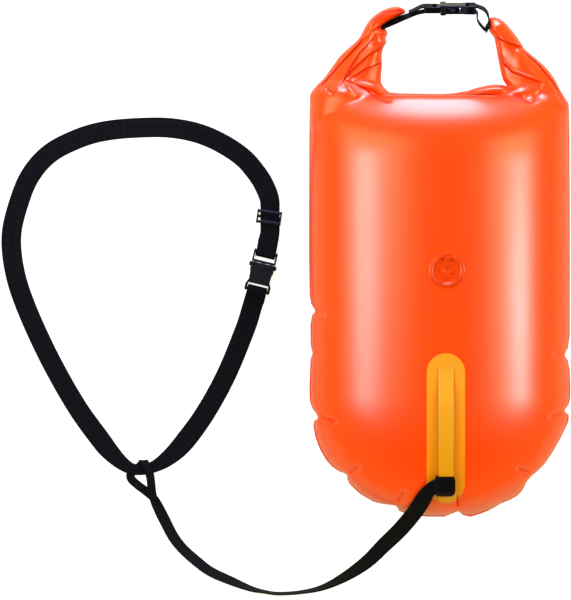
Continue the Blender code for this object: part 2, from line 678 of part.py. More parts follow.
def rolled_top():
    """The roll behind the top seam, its two standing ends and the straps sewn into them."""
    near = Vector(ROLL_BUCKLE_PLACE)
    far = near + Vector((BUCKLE_LENGTH * ROLL_BUCKLE_SHARE, 0))
    flat = math.cos(ROLL_BUCKLE_TILT)
    male, female = [
        [(near.x + along, near.y + out * flat) for along, out in hairpin(
            bar_edge, open_edge, side, ROLL_STRAP_THICKNESS, ROLL_BUCKLE_SHARE)]
        for bar_edge, open_edge, side in (
            (BUCKLE_BAR_END, BUCKLE_BAR_START, -1), (BUCKLE_TAIL_BAR_START, BUCKLE_LENGTH, 1))
    ]

    def beside(place, offsets):
        return [(place.x + across, place.y + along) for across, along in offsets]

    left_strap = beside(near, LEFT_STRAP_IN) + male + beside(near, LEFT_STRAP_OUT)
    right_strap = beside(far, RIGHT_STRAP_IN) + female + beside(far, RIGHT_STRAP_OUT)
    strap_ribbon("roll_strap_left", left_strap, "black_webbing")
    strap_ribbon("roll_strap_right", right_strap, "black_webbing")
    foot_y = TOP_SEAM_Y + GAP
    roll_end("roll_end_left", (ROLL_LEFT_FOOT_X, foot_y), beside(near, [LEFT_TIP])[0],
             ROLL_LEFT_FOOT_HALF_WIDTH, LEFT_END_SHARES, left_strap)
    roll_end("roll_end_right", (ROLL_RIGHT_FOOT_X, foot_y), beside(far, [RIGHT_TIP])[0],
             ROLL_RIGHT_FOOT_HALF_WIDTH, RIGHT_END_SHARES, right_strap)
    roll_middle()


def roll_middle():
    """Middle of the roll: it hangs under the two ends and hugs the back skin."""
    half_tall = ROLL_MIDDLE_HALF_HEIGHT + ROLL_MIDDLE_FOLD
    under_ends = SEAM_Z - ROLL_HALF_HEIGHT - ROLL_MIDDLE_CLEARANCE - half_tall
    size = (ROLL_MIDDLE_HALF_WIDTH, ROLL_MIDDLE_HALF_HEIGHT, ROLL_MIDDLE_FOLD, 0)
    ring = roll_ring((0, 0, 0), (1, 0), *size)
    places = []
    for across_share, sag_share in ROLL_MIDDLE_SHARES:
        x = BODY_HALF_WIDTH * across_share
        z = under_ends - ROLL_MIDDLE_SAG * sag_share
        seat = max(back_y(x, z + point.z) - point.y for point in ring)
        places.append(Vector((x, seat + ROLL_MIDDLE_CLEARANCE, z)))
    sections = []
    for before, here, after in zip([places[0]] + places, places, places[1:] + [places[-1]]):
        sections.append(roll_ring(here, after - before, *size))
    smooth(add_object("roll_middle", loft_mesh("roll_middle", sections), "orange"))


def valve(front):
    """Boston-style inflation valve: a welded flange, a stem that pulls up, a plug and a flap."""
    face = front_point(VALVE_X, VALVE_Y).z
    hole = bmesh.new()
    bmesh.ops.create_cone(hole, cap_ends=True, segments=48, radius1=VALVE_FLANGE_RADIUS + GAP,
                          radius2=VALVE_FLANGE_RADIUS + GAP, depth=2 * VALVE_STEM_LENGTH)
    opening = add_object("valve_opening", mesh_from("valve_opening", hole))
    opening.location = (VALVE_X, VALVE_Y, face)
    boolean(front, opening)

    base = add_frame("valve_frame", Matrix.Translation((VALVE_X, VALVE_Y, face)))
    neck = VALVE_STEM_RADIUS + GAP
    wall = VALVE_TAB_THICKNESS
    lip_inner = VALVE_LIP_RADIUS - VALVE_LIP_WIDTH / 2
    lip_outer = VALVE_LIP_RADIUS + VALVE_LIP_WIDTH / 2
    rim = VALVE_FLANGE_THICKNESS / 4
    flange_profile = [
        (VALVE_FLANGE_RADIUS, rim), (VALVE_FLANGE_RADIUS, rim - VALVE_FLANGE_THICKNESS),
        (lip_inner, rim - VALVE_FLANGE_THICKNESS), (neck + wall, -VALVE_CONE_DEPTH - wall),
        (neck, -VALVE_CONE_DEPTH - wall), (neck, -VALVE_CONE_DEPTH),
        (lip_inner - wall, 0), (lip_inner, VALVE_LIP_HEIGHT), (lip_outer, VALVE_LIP_HEIGHT),
        (lip_outer + wall / 2, rim),
    ]
    smooth(turned("valve_flange", flange_profile, 40, True, "orange", base, (0, 0, 0)))

    foot = -VALVE_SEAT_DEPTH - VALVE_STEM_LENGTH
    stem_profile = [
        (VALVE_STEM_RADIUS, -VALVE_SEAT_DEPTH), (VALVE_STEM_RADIUS, foot),
        (VALVE_BORE_RADIUS, foot), (VALVE_BORE_RADIUS, -VALVE_SEAT_DEPTH),
    ]
    smooth(turned("valve_stem", stem_profile, 32, True, "orange", base, (0, 0, 0)))

    pivot_y = VALVE_TAB_REACH
    pivot_z = VALVE_LIP_HEIGHT + GAP + VALVE_TAB_THICKNESS / 2
    plug_radius = VALVE_BORE_RADIUS - GAP
    cap_bottom = GAP - VALVE_SEAT_DEPTH
    cap_top = cap_bottom + VALVE_CAP_THICKNESS
    ring_inner = VALVE_RING_RADIUS - VALVE_RING_WIDTH
    plug_profile = [
        (0, cap_top), (ring_inner, cap_top), (ring_inner, cap_top + VALVE_RING_HEIGHT),
        (VALVE_RING_RADIUS, cap_top + VALVE_RING_HEIGHT), (VALVE_RING_RADIUS, cap_top),
        (VALVE_CAP_RADIUS, cap_top), (VALVE_CAP_RADIUS, cap_bottom), (plug_radius, cap_bottom),
        (plug_radius - VALVE_PLUG_TAPER, cap_bottom - VALVE_PLUG_DEPTH),
        (0, cap_bottom - VALVE_PLUG_DEPTH),
    ]
    shifted = [(radius, height - pivot_z) for radius, height in plug_profile]
    plug = turned("valve_plug", shifted, 32, False, "orange", base, (0, pivot_y, pivot_z))
    for vertex in plug.data.vertices:
        vertex.co.y -= pivot_y
    plug.modifiers["turn"].object = add_frame(
        "valve_plug_axis", Matrix.Translation((VALVE_X, VALVE_Y, face + pivot_z)))
    tab_level = (cap_bottom + cap_top) / 2 - pivot_z
    tab_path = [(VALVE_CAP_RADIUS * 0.8 - pivot_y, tab_level), (VALVE_CAP_RADIUS - pivot_y, tab_level),
                (lip_inner - VALVE_LIP_WIDTH - pivot_y, 0), (0, 0)]
    tab_rows = [(Vector((-VALVE_TAB_WIDTH / 2, y, z)), Vector((VALVE_TAB_WIDTH / 2, y, z)))
                for y, z in tab_path]
    tab = add_object("valve_plug_tab", grid_mesh("valve_plug_tab", tab_rows), None, base,
                     (0, pivot_y, pivot_z))
    solidify(tab, VALVE_TAB_THICKNESS, 0)
    boolean(plug, tab, "UNION")
    smooth(plug)

    flap_top = foot - GAP
    flap = bmesh.new()
    bmesh.ops.create_cone(flap, cap_ends=True, segments=24, radius1=VALVE_STEM_RADIUS,
                          radius2=VALVE_STEM_RADIUS, depth=VALVE_FLAP_THICKNESS)
    bmesh.ops.translate(flap, vec=(0, VALVE_STEM_RADIUS, -VALVE_FLAP_THICKNESS / 2), verts=flap.verts)
    add_object("valve_flap", mesh_from("valve_flap", flap), "film", base,
               (0, -VALVE_STEM_RADIUS, flap_top))


def band_lift(y):
    """Height of the band's underside over its seat on the patch."""
    inside = min(y - BAND_BOTTOM_Y, BAND_TOP_Y - y) - BAND_FOOT
    share = min(max(inside / BAND_RISE, 0), 1)
    return BAND_LIFT * share * share * (3 - 2 * share)


def band_section(y, margin):
    """Rounded box round the band's section at y, grown by a margin."""
    seat = 2 * GAP + PATCH_THICKNESS + band_lift(y)
    low = seat - margin
    high = seat + BAND_THICKNESS + margin
    half = BAND_HALF_WIDTH + margin
    edge = BAND_THICKNESS / 4
    corners = [(-half, low + edge), (-half + edge, low), (0, low), (half - edge, low),
               (half, low + edge), (half, high - edge), (half - edge, high), (0, high),
               (-half + edge, high), (-half, high - edge)]
    foot = front_point(PATCH_X, y)
    normal = (front_point(PATCH_X, y, PATCH_THICKNESS) - foot).normalized()
    side = (front_point(PATCH_X + BAND_HALF_WIDTH, y) - front_point(PATCH_X - BAND_HALF_WIDTH, y))
    side.normalize()
    rise = (front_point(PATCH_X + BAND_HALF_WIDTH, y) + front_point(PATCH_X - BAND_HALF_WIDTH, y)) / 2
    crown = (foot - rise).dot(normal)
    return [foot + side * x + normal * (h - crown * (abs(x) / BAND_HALF_WIDTH) ** 2 * 0.9)
            for x, h in corners]


def band_mesh(name, top, bottom, margin, step):
    """Stretch of the band between two places along the patch."""
    count = max(round((top - bottom) / step), 2)
    return loft_mesh(name, [band_section(bottom + (top - bottom) * k / count, margin)
                            for k in range(count + 1)])


def lash_handle():
    """Pill-shaped patch, the raised band on it, and the tether's hitch round the band."""
    radius = PATCH_HALF_WIDTH
    straight_top = PATCH_TOP_Y - radius
    straight_bottom = PATCH_BOTTOM_Y + radius
    end_steps, straight_steps, columns = 5, 16, 4
    angles = [math.radians(86) * k / end_steps for k in range(end_steps + 1)]
    rows = [(straight_bottom - radius * math.sin(a), radius * math.cos(a)) for a in reversed(angles)]
    rows += [(straight_bottom + (straight_top - straight_bottom) * k / straight_steps, radius)
             for k in range(1, straight_steps)]
    rows += [(straight_top + radius * math.sin(a), radius * math.cos(a)) for a in angles]
    grid = [[front_point(PATCH_X + half * (2 * i / columns - 1), y, GAP + PATCH_THICKNESS / 2)
             for i in range(columns + 1)] for y, half in rows]
    patch = add_object("handle_patch", grid_mesh("handle_patch", grid), "yellow")
    solidify(patch, PATCH_THICKNESS, 0)
    smooth(patch)

    step = BAND_RISE / 3
    smooth(add_object("handle_band", band_mesh("handle_band", BAND_TOP_Y, BAND_BOTTOM_Y, 0, step),
                      "yellow"))
    wrap = band_mesh("tether_hitch", HITCH_TOP_Y, HITCH_BOTTOM_Y, GAP + HITCH_WALL, step)
    inner = band_mesh("hitch_bore", HITCH_TOP_Y + OVERRUN, HITCH_BOTTOM_Y - OVERRUN, GAP, step)
    hitch = add_object("tether_hitch", wrap, "black_webbing")
    boolean(hitch, add_object("hitch_bore", inner))


def tether():
    """The tether's webbing from the hitch, and its eye round the belt."""
    path = smooth_path(TETHER_ROUTE, TETHER_WIDTH / 2)
    slope = front_point(PATCH_X, HITCH_TOP_Y) - front_point(PATCH_X, HITCH_BOTTOM_Y)
    ribbon("tether_webbing", path, TETHER_WIDTH, TETHER_THICKNESS, "black_webbing",
           widths=[point[4] for point in path], rolls=[point[3] for point in path],
           first_width=slope.normalized(), ease=3)
    eye = smooth_path(EYE_ROUTE, EYE_THICKNESS * 1.5)
    ribbon("tether_eye", eye, EYE_WIDTH, EYE_THICKNESS, "black_webbing", guide=Vector((1, 0, 0)))


def belt(matrix):
    """One strap: its end under the slider, round the male bar, round the waist, and sewn back
    on itself round the female bar."""
    def lie(points):
        return [(*(matrix @ Vector((along, 0, out))), 1) for along, out in points]

    male = lie(hairpin(BUCKLE_BAR_END, BUCKLE_BAR_START, -1, BELT_THICKNESS, 1))
    female = lie(hairpin(BUCKLE_TAIL_BAR_START, BUCKLE_LENGTH, -1, BELT_THICKNESS, 1))
    drop = BUCKLE_COLLAR_HALF_DEPTH
    sewn = lie([(BUCKLE_LENGTH + 2 * BELT_THICKNESS, BELT_THICKNESS - LAYER_GAP),
                (BUCKLE_LENGTH + 6 * BELT_THICKNESS, 4 * BELT_THICKNESS - LAYER_GAP - drop - BELT_THICKNESS),
                (BUCKLE_LENGTH + BELT_WIDTH / 2, 3 * BELT_THICKNESS - LAYER_GAP - drop)])
    path = BELT_TAIL + male + smooth_path(BELT_ROUTE, BELT_WIDTH / 2) + female + sewn
    ribbon("belt_webbing", path, BELT_WIDTH, BELT_THICKNESS, "black_webbing",
           widths=[point[3] for point in path])


def symmetric(outline):
    """Close an outline that is drawn on one side of the length, from first to last."""
    return outline + [(x, -y) for x, y in reversed(outline) if y > 0]


def buckle(prefix, matrix, share):
    """Side-release buckle: a male base with its tongue, a female sleeve and two sprung prongs."""
    frame = add_frame(prefix + "_frame", matrix)

    def plate(word, outline, depth, rounding=BUCKLE_ROUNDING, colour_name=None, place=None):
        points = [(x * share, y * share) for x, y in outline]
        mesh = plate_mesh(prefix + word, points, depth * share)
        piece = add_object(prefix + word, mesh, colour_name, frame, place)
        bevel(piece, rounding * share)
        return piece

    def bar(piece, word, start, end):
        half = BUCKLE_SLOT_HALF_WIDTH + BUCKLE_ROUNDING
        outline = [(start, -half), (end, -half), (end, half), (start, half)]
        boolean(piece, plate(word, outline, BUCKLE_BAR_HALF_DEPTH), "UNION")

    corner = BUCKLE_ROUNDING * 2
    far = BUCKLE_COLLAR_HALF_WIDTH + OVERRUN
    mouth = BUCKLE_BASE_END + GAP
    window = BUCKLE_COLLAR_END - GAP

    male = plate("_male", symmetric([
        (BUCKLE_SLOT_END, BUCKLE_SLOT_HALF_WIDTH),
        (BUCKLE_BAR_START, BUCKLE_SLOT_HALF_WIDTH),
        (BUCKLE_BAR_START, BUCKLE_BASE_HALF_WIDTH - corner),
        (BUCKLE_BAR_START + corner, BUCKLE_BASE_HALF_WIDTH),
        (BUCKLE_BASE_END, BUCKLE_BASE_HALF_WIDTH),
    ]), BUCKLE_BASE_HALF_DEPTH, BUCKLE_ROUNDING, "black_plastic")
    bar(male, "_male_bar", BUCKLE_BAR_START + BUCKLE_BAR_SETBACK, BUCKLE_BAR_END)
    for side, word in ((1, "_pocket_left"), (-1, "_pocket_right")):
        inner, outer = sorted((side * PRONG_POCKET_INNER, side * (PRONG_ARM_OUTER + GAP)))
        low = (BUCKLE_SLOT_END - OVERRUN, inner, -BUCKLE_CAVITY_HALF_DEPTH)
        high = (BUCKLE_BASE_END + OVERRUN, outer, BUCKLE_CAVITY_HALF_DEPTH)
        mesh = box_mesh(prefix + word, [c * share for c in low], [c * share for c in high])
        boolean(male, add_object(prefix + word, mesh, None, frame))
    tongue = plate("_tongue", symmetric([
        (BUCKLE_SLOT_END + BUCKLE_ROUNDING, BUCKLE_TONGUE_HALF_WIDTH),
        (BUCKLE_TONGUE_END, BUCKLE_TONGUE_HALF_WIDTH),
    ]), BUCKLE_TONGUE_HALF_DEPTH, BUCKLE_ROUNDING / 2)
    boolean(male, tongue, "UNION")

    female = plate("_female", symmetric([
        (BUCKLE_COLLAR_END - corner, BUCKLE_BODY_HALF_WIDTH),
        (BUCKLE_CAVITY_END - 3 * corner, BUCKLE_WAIST_HALF_WIDTH + corner / 4),
        (BUCKLE_CAVITY_END + corner / 2, BUCKLE_WAIST_HALF_WIDTH),
        (BUCKLE_TAIL_SLOT_START - corner, BUCKLE_TAIL_HALF_WIDTH - corner),
        (BUCKLE_TAIL_SLOT_START + corner, BUCKLE_TAIL_HALF_WIDTH),
        (BUCKLE_LENGTH - corner, BUCKLE_TAIL_HALF_WIDTH),
        (BUCKLE_LENGTH, BUCKLE_TAIL_HALF_WIDTH - corner),
        (BUCKLE_LENGTH, BUCKLE_SLOT_HALF_WIDTH),
        (BUCKLE_TAIL_SLOT_START, BUCKLE_SLOT_HALF_WIDTH),
    ]), BUCKLE_BODY_HALF_DEPTH, BUCKLE_ROUNDING, "black_plastic")
    bar(female, "_female_bar", BUCKLE_TAIL_BAR_START, BUCKLE_LENGTH - BUCKLE_BAR_SETBACK)
    collar = plate("_collar", symmetric([
        (mouth, BUCKLE_COLLAR_HALF_WIDTH - corner), (mouth + corner, BUCKLE_COLLAR_HALF_WIDTH),
        (BUCKLE_COLLAR_END - corner, BUCKLE_COLLAR_HALF_WIDTH),
        (BUCKLE_COLLAR_END, BUCKLE_COLLAR_HALF_WIDTH - corner),
    ]), BUCKLE_COLLAR_HALF_DEPTH)
    boolean(female, collar, "UNION")
    cavity = plate("_cavity", symmetric([
        (mouth - OVERRUN, BUCKLE_MOUTH_HALF_WIDTH), (window, BUCKLE_MOUTH_HALF_WIDTH),
        (window, far), (BUCKLE_CAVITY_END, far),
    ]), BUCKLE_CAVITY_HALF_DEPTH, 0)
    boolean(female, cavity)

    shoulder = window + GAP
    pad_end = shoulder + (PRONG_TIP_ALONG - shoulder) * PRONG_PAD_SHARE
    taper_end = (pad_end + PRONG_TIP_ALONG) / 2
    profile = [
        (PRONG_PIVOT_ALONG - PRONG_ROOT, PRONG_ARM_INNER),
        (PRONG_TIP_ALONG - 5 * corner, PRONG_ARM_INNER),
        (PRONG_TIP_ALONG - corner, PRONG_TIP_ACROSS - corner),
        (PRONG_TIP_ALONG, PRONG_TIP_ACROSS),
        (PRONG_TIP_ALONG - corner, PRONG_TIP_ACROSS + corner),
        (taper_end, (PRONG_PAD_ACROSS + PRONG_TIP_ACROSS) / 2 + corner),
        (pad_end, PRONG_PAD_ACROSS - corner / 4),
        (shoulder + corner, PRONG_PAD_ACROSS),
        (shoulder, PRONG_PAD_ACROSS - corner / 2),
        (shoulder, PRONG_ARM_OUTER),
        (PRONG_PIVOT_ALONG, PRONG_ARM_OUTER),
        (PRONG_PIVOT_ALONG - PRONG_ROOT, PRONG_ARM_OUTER - corner / 2),
    ]
    for side, word in ((1, "_prong_left"), (-1, "_prong_right")):
        pivot = Vector((PRONG_PIVOT_ALONG, side * PRONG_PIVOT_ACROSS, 0))
        outline = [(x - pivot.x, side * y - pivot.y) for x, y in profile]
        plate(word, outline, PRONG_HALF_DEPTH, BUCKLE_ROUNDING / 2, "black_plastic", pivot * share)


def slider():
    """Arched ladder slider: both belt layers pass under its end bars and over its middle bar."""
    frame = add_frame("belt_slider_frame",
                      Matrix.Translation((SLIDER_PLACE[0], SLIDER_PLACE[1], 0))
                      @ Matrix.Rotation(SLIDER_SKEW, 4, "Z"))
    layers = 2 * BELT_THICKNESS + 2 * GAP + LAYER_GAP
    middle_top = SLIDER_BAR_SETBACK + SLIDER_BAR_THICKNESS
    end_top = middle_top + layers + SLIDER_BAR_THICKNESS
    height = end_top + SLIDER_BAR_SETBACK
    reach = (SLIDER_HALF_WIDTH + SLIDER_WINDOW_HALF_WIDTH) / 2
    far = SLIDER_HALF_LENGTH - SLIDER_BAR_SETBACK
    near = far - SLIDER_BAR
    piece = add_object("belt_slider", box_mesh("belt_slider", (-reach, -SLIDER_BAR / 2, SLIDER_BAR_SETBACK),
                                               (reach, SLIDER_BAR / 2, middle_top)),
                       "black_plastic", frame)
    members = (
        ("slider_rail_left", (-SLIDER_HALF_WIDTH, -SLIDER_HALF_LENGTH, 0),
         (-SLIDER_WINDOW_HALF_WIDTH, SLIDER_HALF_LENGTH, height)),
        ("slider_rail_right", (SLIDER_WINDOW_HALF_WIDTH, -SLIDER_HALF_LENGTH, 0),
         (SLIDER_HALF_WIDTH, SLIDER_HALF_LENGTH, height)),
        ("slider_bar_low", (-reach, -far, middle_top + layers), (reach, -near, end_top)),
        ("slider_bar_high", (-reach, near, middle_top + layers), (reach, far, end_top)),
    )
    for name, low, high in members:
        member = add_object(name, box_mesh(name, low, high), None, frame)
        bevel(member, SLIDER_ROUNDING)
        boolean(piece, member, "UNION")


def main():
    clear_scene()
    front = skin("front_panel", 1)
    skin("back_panel", -1)
    pouch()
    rolled_top()
    valve(front)
    lash_handle()
    tether()
    belt_buckle = (Matrix.Translation((*BELT_BUCKLE_PLACE, BUCKLE_COLLAR_HALF_DEPTH))
                   @ Matrix.Rotation(BELT_BUCKLE_TURN, 4, "Z"))
    buckle("belt_buckle", belt_buckle, 1.0)
    belt(belt_buckle)
    slider()
    roll_buckle = (Matrix.Translation((*ROLL_BUCKLE_PLACE, SEAM_Z))
                   @ Matrix.Rotation(ROLL_BUCKLE_TILT - math.pi / 2, 4, "X"))
    buckle("roll_buckle", roll_buckle, ROLL_BUCKLE_SHARE)


main()
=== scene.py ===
"""Looks of the open water swim buoy: coated film, woven webbing, moulded buckles and soft studio light."""

import math
from contextlib import contextmanager

import bpy
import numpy as np
from mathutils import Matrix, Vector


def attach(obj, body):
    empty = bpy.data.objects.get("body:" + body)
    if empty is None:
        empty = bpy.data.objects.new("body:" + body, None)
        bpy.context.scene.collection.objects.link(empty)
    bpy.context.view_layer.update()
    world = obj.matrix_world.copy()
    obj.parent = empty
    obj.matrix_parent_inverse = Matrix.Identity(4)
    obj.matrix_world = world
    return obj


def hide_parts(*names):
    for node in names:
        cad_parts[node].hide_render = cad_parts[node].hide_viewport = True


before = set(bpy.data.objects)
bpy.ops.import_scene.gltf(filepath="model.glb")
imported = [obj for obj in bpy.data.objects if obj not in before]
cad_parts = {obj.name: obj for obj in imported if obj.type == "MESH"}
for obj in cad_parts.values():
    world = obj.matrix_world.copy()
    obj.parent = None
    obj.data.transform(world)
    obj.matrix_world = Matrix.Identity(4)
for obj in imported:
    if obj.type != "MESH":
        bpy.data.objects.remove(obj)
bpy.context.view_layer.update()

# The photograph's scale and its pixel that lies over the frame's origin
MM = 0.001
PIXEL = 1.25 * MM
PIXEL_ORIGIN = (440.0, 304.5)
PICTURE = (571, 600)

# Camera: far off and straight above, as the buoy was laid out for its photograph
CAMERA_DISTANCE = 16.0
FOCUS_HEIGHT = 0.082
SENSOR = 36.0

# Softboxes: name, place, turns about X and Y in degrees, size and radiance. The cores make the two
# long highlights, the rims their soft edges, and the one beyond the rolled top the pale band under it.
SOFTBOXES = [
    ("softbox_left_core", (-1.22, 0.10, 1.42), (0, -42.5), (0.50, 0.56), 7.6),
    ("softbox_left_rim", (-1.15, 0.60, 1.50), (0, -40), (1.50, 1.30), 2.2),
    ("softbox_right_core", (1.31, 0.0, 1.31), (0, 47), (0.40, 0.22), 20.0),
    ("softbox_right_rim", (1.24, 0.42, 1.42), (0, 44), (1.00, 1.20), 2.8),
    ("softbox_top", (-0.04, 1.70, 0.50), (-76, 0), (0.90, 0.60), 12.5),
    ("ceiling_fill", (0.0, 0.0, 3.0), (0, 0), (7.0, 7.0), 2.1),
]

# The surroundings: pale near the horizon and dark overhead, and warm, because the screen can't
# show how far from blue the orange is. The fill lights matt surfaces only. The cores and the top
# lamp are bluish, so that their highlights come out pale on the film's warm gloss.
WORLD_STOPS = [(0.0, "#C8BC78"), (0.42, "#B8AC70"), (0.80, "#383420"), (1.0, "#1A1608")]
FLOOR_SEEN = 0.80
FLOOR_IN_GLOSS = (0.30, 0.26, 0.06)
FILL_COLOUR = "#FFF8A0"
CORE_COLOUR = "#A8A8FF"
FILM_GLOSS = (1.0, 0.95, 0.42)
FLOOR_SIZE = 60.0
FLOOR_DROP = 0.4 * MM

# Inflated body, as the frame has it
BODY_HALF_WIDTH = 161.5 * MM
BODY_HALF_DEPTH = 88 * MM
SEAM_Z = 82 * MM
SEAM_LIFT = 0.6 * MM
TOP_SEAM_Y = 262 * MM
BOTTOM_SEAM_Y = -264 * MM
BOTTOM_FLAT = 23 * MM
TOP_CORNER_RADIUS = 18 * MM
TOP_END_LENGTH = 85 * MM
END_FULLNESS = 2.4
BOTTOM_END_RADIUS = BODY_HALF_WIDTH - BOTTOM_FLAT / 2
BOTTOM_CENTRE_Y = BOTTOM_SEAM_Y + BOTTOM_END_RADIUS
TOP_FOOT_Y = TOP_SEAM_Y - TOP_END_LENGTH
SEAM_ARC = BOTTOM_FLAT / 2 + BOTTOM_END_RADIUS * math.pi / 2
SEAM_LENGTH = SEAM_ARC + TOP_SEAM_Y - BOTTOM_CENTRE_Y
FILM_ROWS = 430
FILM_COLUMNS = 200
WELD_INSIDE = 1.6 * MM
WELD_OUTSIDE = 1.2 * MM
WELD_THICKNESS = 1.1 * MM
WELD_ROWS = 1400
POUCH_THICKNESS = 0.3 * MM
POUCH_MARGIN = 14 * MM
POUCH_SLACK = 3 * MM
POUCH_WAVES = (60, 41)

# Swell of the front film over the roll behind the top seam: height at the seam, how soon it eases, its
# rounded edge, its middle and its half width
SWELL_HEIGHT = 30 * MM
SWELL_REACH = 10 * MM
SWELL_EDGE = 1.5 * MM
SWELL_X = -6 * MM
SWELL_HALF_WIDTH = 85 * MM

# The seam's outline in the photograph's pixels, from the left shoulder round the bottom
SEAM_OUTLINE = [
    (310.6, 105), (310.3, 140), (310.0, 200), (310.0, 260), (310.6, 295), (312.2, 304), (316.7, 311.4),
    (313.0, 315), (311.4, 325), (311.6, 345), (313.6, 353), (311.4, 360), (310.4, 385), (310.8, 401),
    (314.0, 409.5), (320.5, 417), (315.2, 420.5), (314.2, 425), (316.4, 437), (321, 449), (327, 459.5),
    (333.5, 466.5), (340, 471), (348.6, 473), (347.6, 477.5), (350, 483), (360, 492.5), (374, 500.8),
    (386, 503.6), (392.5, 502.8), (397.6, 501.6), (397.4, 506), (399.5, 510), (408, 513), (425, 515.4),
    (444, 515.8), (453, 512.3), (457.4, 506.2), (459.4, 510.8), (462, 513.6), (470, 515.8), (485, 511),
    (500, 502.8), (510, 498.7), (516.5, 495.0), (521, 490.5), (524.3, 485.5), (525, 479), (528.6, 472.8),
    (535, 470.6), (543, 464.5), (555, 446), (563, 430.5), (567.6, 421), (567.8, 415), (563.4, 410.6),
    (567.6, 404.5), (569.2, 398), (569.4, 384), (568.6, 370), (566.8, 360), (562.9, 355), (567.0, 348),
    (568.8, 335), (568.9, 250), (568.7, 180), (568.5, 130), (568.2, 105),
]
OUTLINE_FADE = 34 * MM

# Creases: half width of the shade painted along their bottom, the colour of that painted shade, and
# the height over the seam where a seam crease is at its full depth
CREASE_WIDTH = 1.1 * MM
CREASE_PAINTED_SHADE = (0.42, 0.10, 0.06, 1.0)
CREASE_CLIMB = 6 * MM

# Creases that run in from the seam: their ends in pixels, then depth and width in millimetres
SEAM_CREASES = [
    ([(316.7, 311.4), (326, 315)], 5.0, 2.6), ([(313.6, 353), (322, 355)], 3.0, 2.6),
    ([(320.5, 417), (338, 422.5)], 6.5, 2.6), ([(348.6, 473), (360, 466)], 6.0, 2.8),
    ([(397.6, 501.6), (405, 489)], 5.5, 2.6), ([(457.4, 506.2), (456, 492)], 7.0, 2.4),
    ([(516.5, 495), (511, 487)], 3.0, 2.4), ([(528.6, 472.8), (516, 467)], 6.0, 2.6),
    ([(563.4, 410.6), (548, 418)], 6.5, 2.6), ([(562.9, 355), (552, 354)], 4.0, 2.8),
    ([(327, 459), (338, 450)], 1.6, 3.0), ([(555, 446), (543, 440)], 1.6, 3.0),
]
GATHER_HEIGHT = 0.16 * MM
GATHER_WAVE = 17 * MM
GATHER_REACH = 22 * MM

# Valve, patch and band, as the frame has them
VALVE = (7.5 * MM, 41.9 * MM)
VALVE_FACE_Z = 169.9 * MM
PATCH_X = 6.25 * MM
PATCH_TOP_Y = -60.6 * MM
PATCH_BOTTOM_Y = -246.9 * MM
PATCH_HALF_WIDTH = 23.75 * MM
BAND_TOP_Y = -76.5 * MM
BAND_BOTTOM_Y = -243.5 * MM
BAND_HALF_WIDTH = 9.5 * MM
BAND_THICKNESS = 2.2 * MM
BAND_LIFT = 9 * MM
BAND_FOOT = 5 * MM
BAND_RISE = 14 * MM
BAND_TOP_RISE = 48 * MM
BAND_ROWS = 90
# Painted shade along the band's right edge, in pixels
BAND_EDGE_SHADE_LINE = [(453.4, 364), (453.4, 476)]
PATCH_LIFT = 1.0 * MM
PATCH_THICKNESS = 0.9 * MM
HITCH_TOP_Y = -209 * MM
HITCH_BOTTOM_Y = -234 * MM
HITCH_SHIFT = -1.5 * MM
HITCH_WALL = 1.8 * MM
HITCH_ROWS = 16
HITCH_UV = (60 * MM, 22 * MM)

# Turned pieces of the valve: radius and height over its face, in millimetres
RING_PROFILE = [
    (21.7, -1.2), (22.3, 0.1), (21.7, 0.5), (19.6, 0.6), (18.7, 0.7), (18.3, 1.1), (17.5, 1.3),
    (16.8, 1.0), (16.3, 0.2), (14.0, -1.6), (11.0, -4.2), (10.0, -5.0), (9.9, -6.0),
]
STEM_PROFILE = [(9.6, -16), (9.6, -2.8), (9.3, -2.4), (6.7, -2.4), (6.4, -2.7), (6.4, -15.6)]
PLUG_PROFILE = [
    (4.7, -5.1), (6.1, -2.1), (9.1, -2.1), (9.3, -1.8), (9.3, -0.7), (9.0, -0.35), (7.8, -0.3),
    (7.4, -0.7), (4.8, -0.7), (4.5, 0.1), (3.9, 0.3), (3.5, 0.1), (3.3, -0.5), (0.6, -0.6),
]
FLAP_PROFILE = [(9.6, -16.9), (9.6, -16.3), (0.5, -16.3)]
VALVE_HOLE_RADIUS = 0.94 * RING_PROFILE[0][0] * MM

# The plug's tab: where it starts beyond the valve's middle, its length, half width, waist, low end
# and climb to the hinge
TAB_START = 8.6 * MM
TAB_LENGTH = 10 * MM
TAB_HALF_WIDTH = 5.8 * MM
TAB_WAIST = 1.2 * MM
TAB_LOW = -1.3 * MM
TAB_CLIMB = 3.2 * MM
TAB_CLIMB_START = 9.3 * MM
TAB_CLIMB_LENGTH = 6.6 * MM
TAB_THICKNESS = 1.8 * MM

# Webbing
TETHER_WIDTH = 20 * MM
TETHER_THICKNESS = 1.4 * MM
EYE_WIDTH = 10.6 * MM
EYE_THICKNESS = 2.0 * MM
BELT_WIDTH = 25 * MM
BELT_THICKNESS = 1.2 * MM
LAYER_GAP = 0.4 * MM
GAP = 0.3 * MM

# Steps along the routes of the straps and the rolled film
TETHER_STEP = 4 * MM
EYE_STEP = 1.5 * MM
BELT_STEP = 5 * MM
TAB_STEP = 3 * MM
ARM_STEP = 1.5 * MM
LIP_STEP = 1.2 * MM
ROLL_STEP = 2 * MM

# Buckle bars, along the buckle from the male bar's edge
BAR_END = 5.8 * MM
TAIL_BAR_START = 49.2 * MM
BUCKLE_LENGTH = 54 * MM
BAR_HALF_DEPTH = 2.0 * MM
COLLAR_HALF_DEPTH = 5.2 * MM
BELT_BUCKLE_PLACE = (-217.0 * MM, 67.6 * MM)
BELT_BUCKLE_TURN = math.radians(256.4)
ROLL_BUCKLE_PLACE = (-20 * MM, 370 * MM)
ROLL_BUCKLE_TILT = math.radians(9)
ROLL_BUCKLE_SHARE = 1.2
ROLL_STRAP_LEAN = math.radians(17)
ROLL_STRAP_THICKNESS = 1.6 * MM

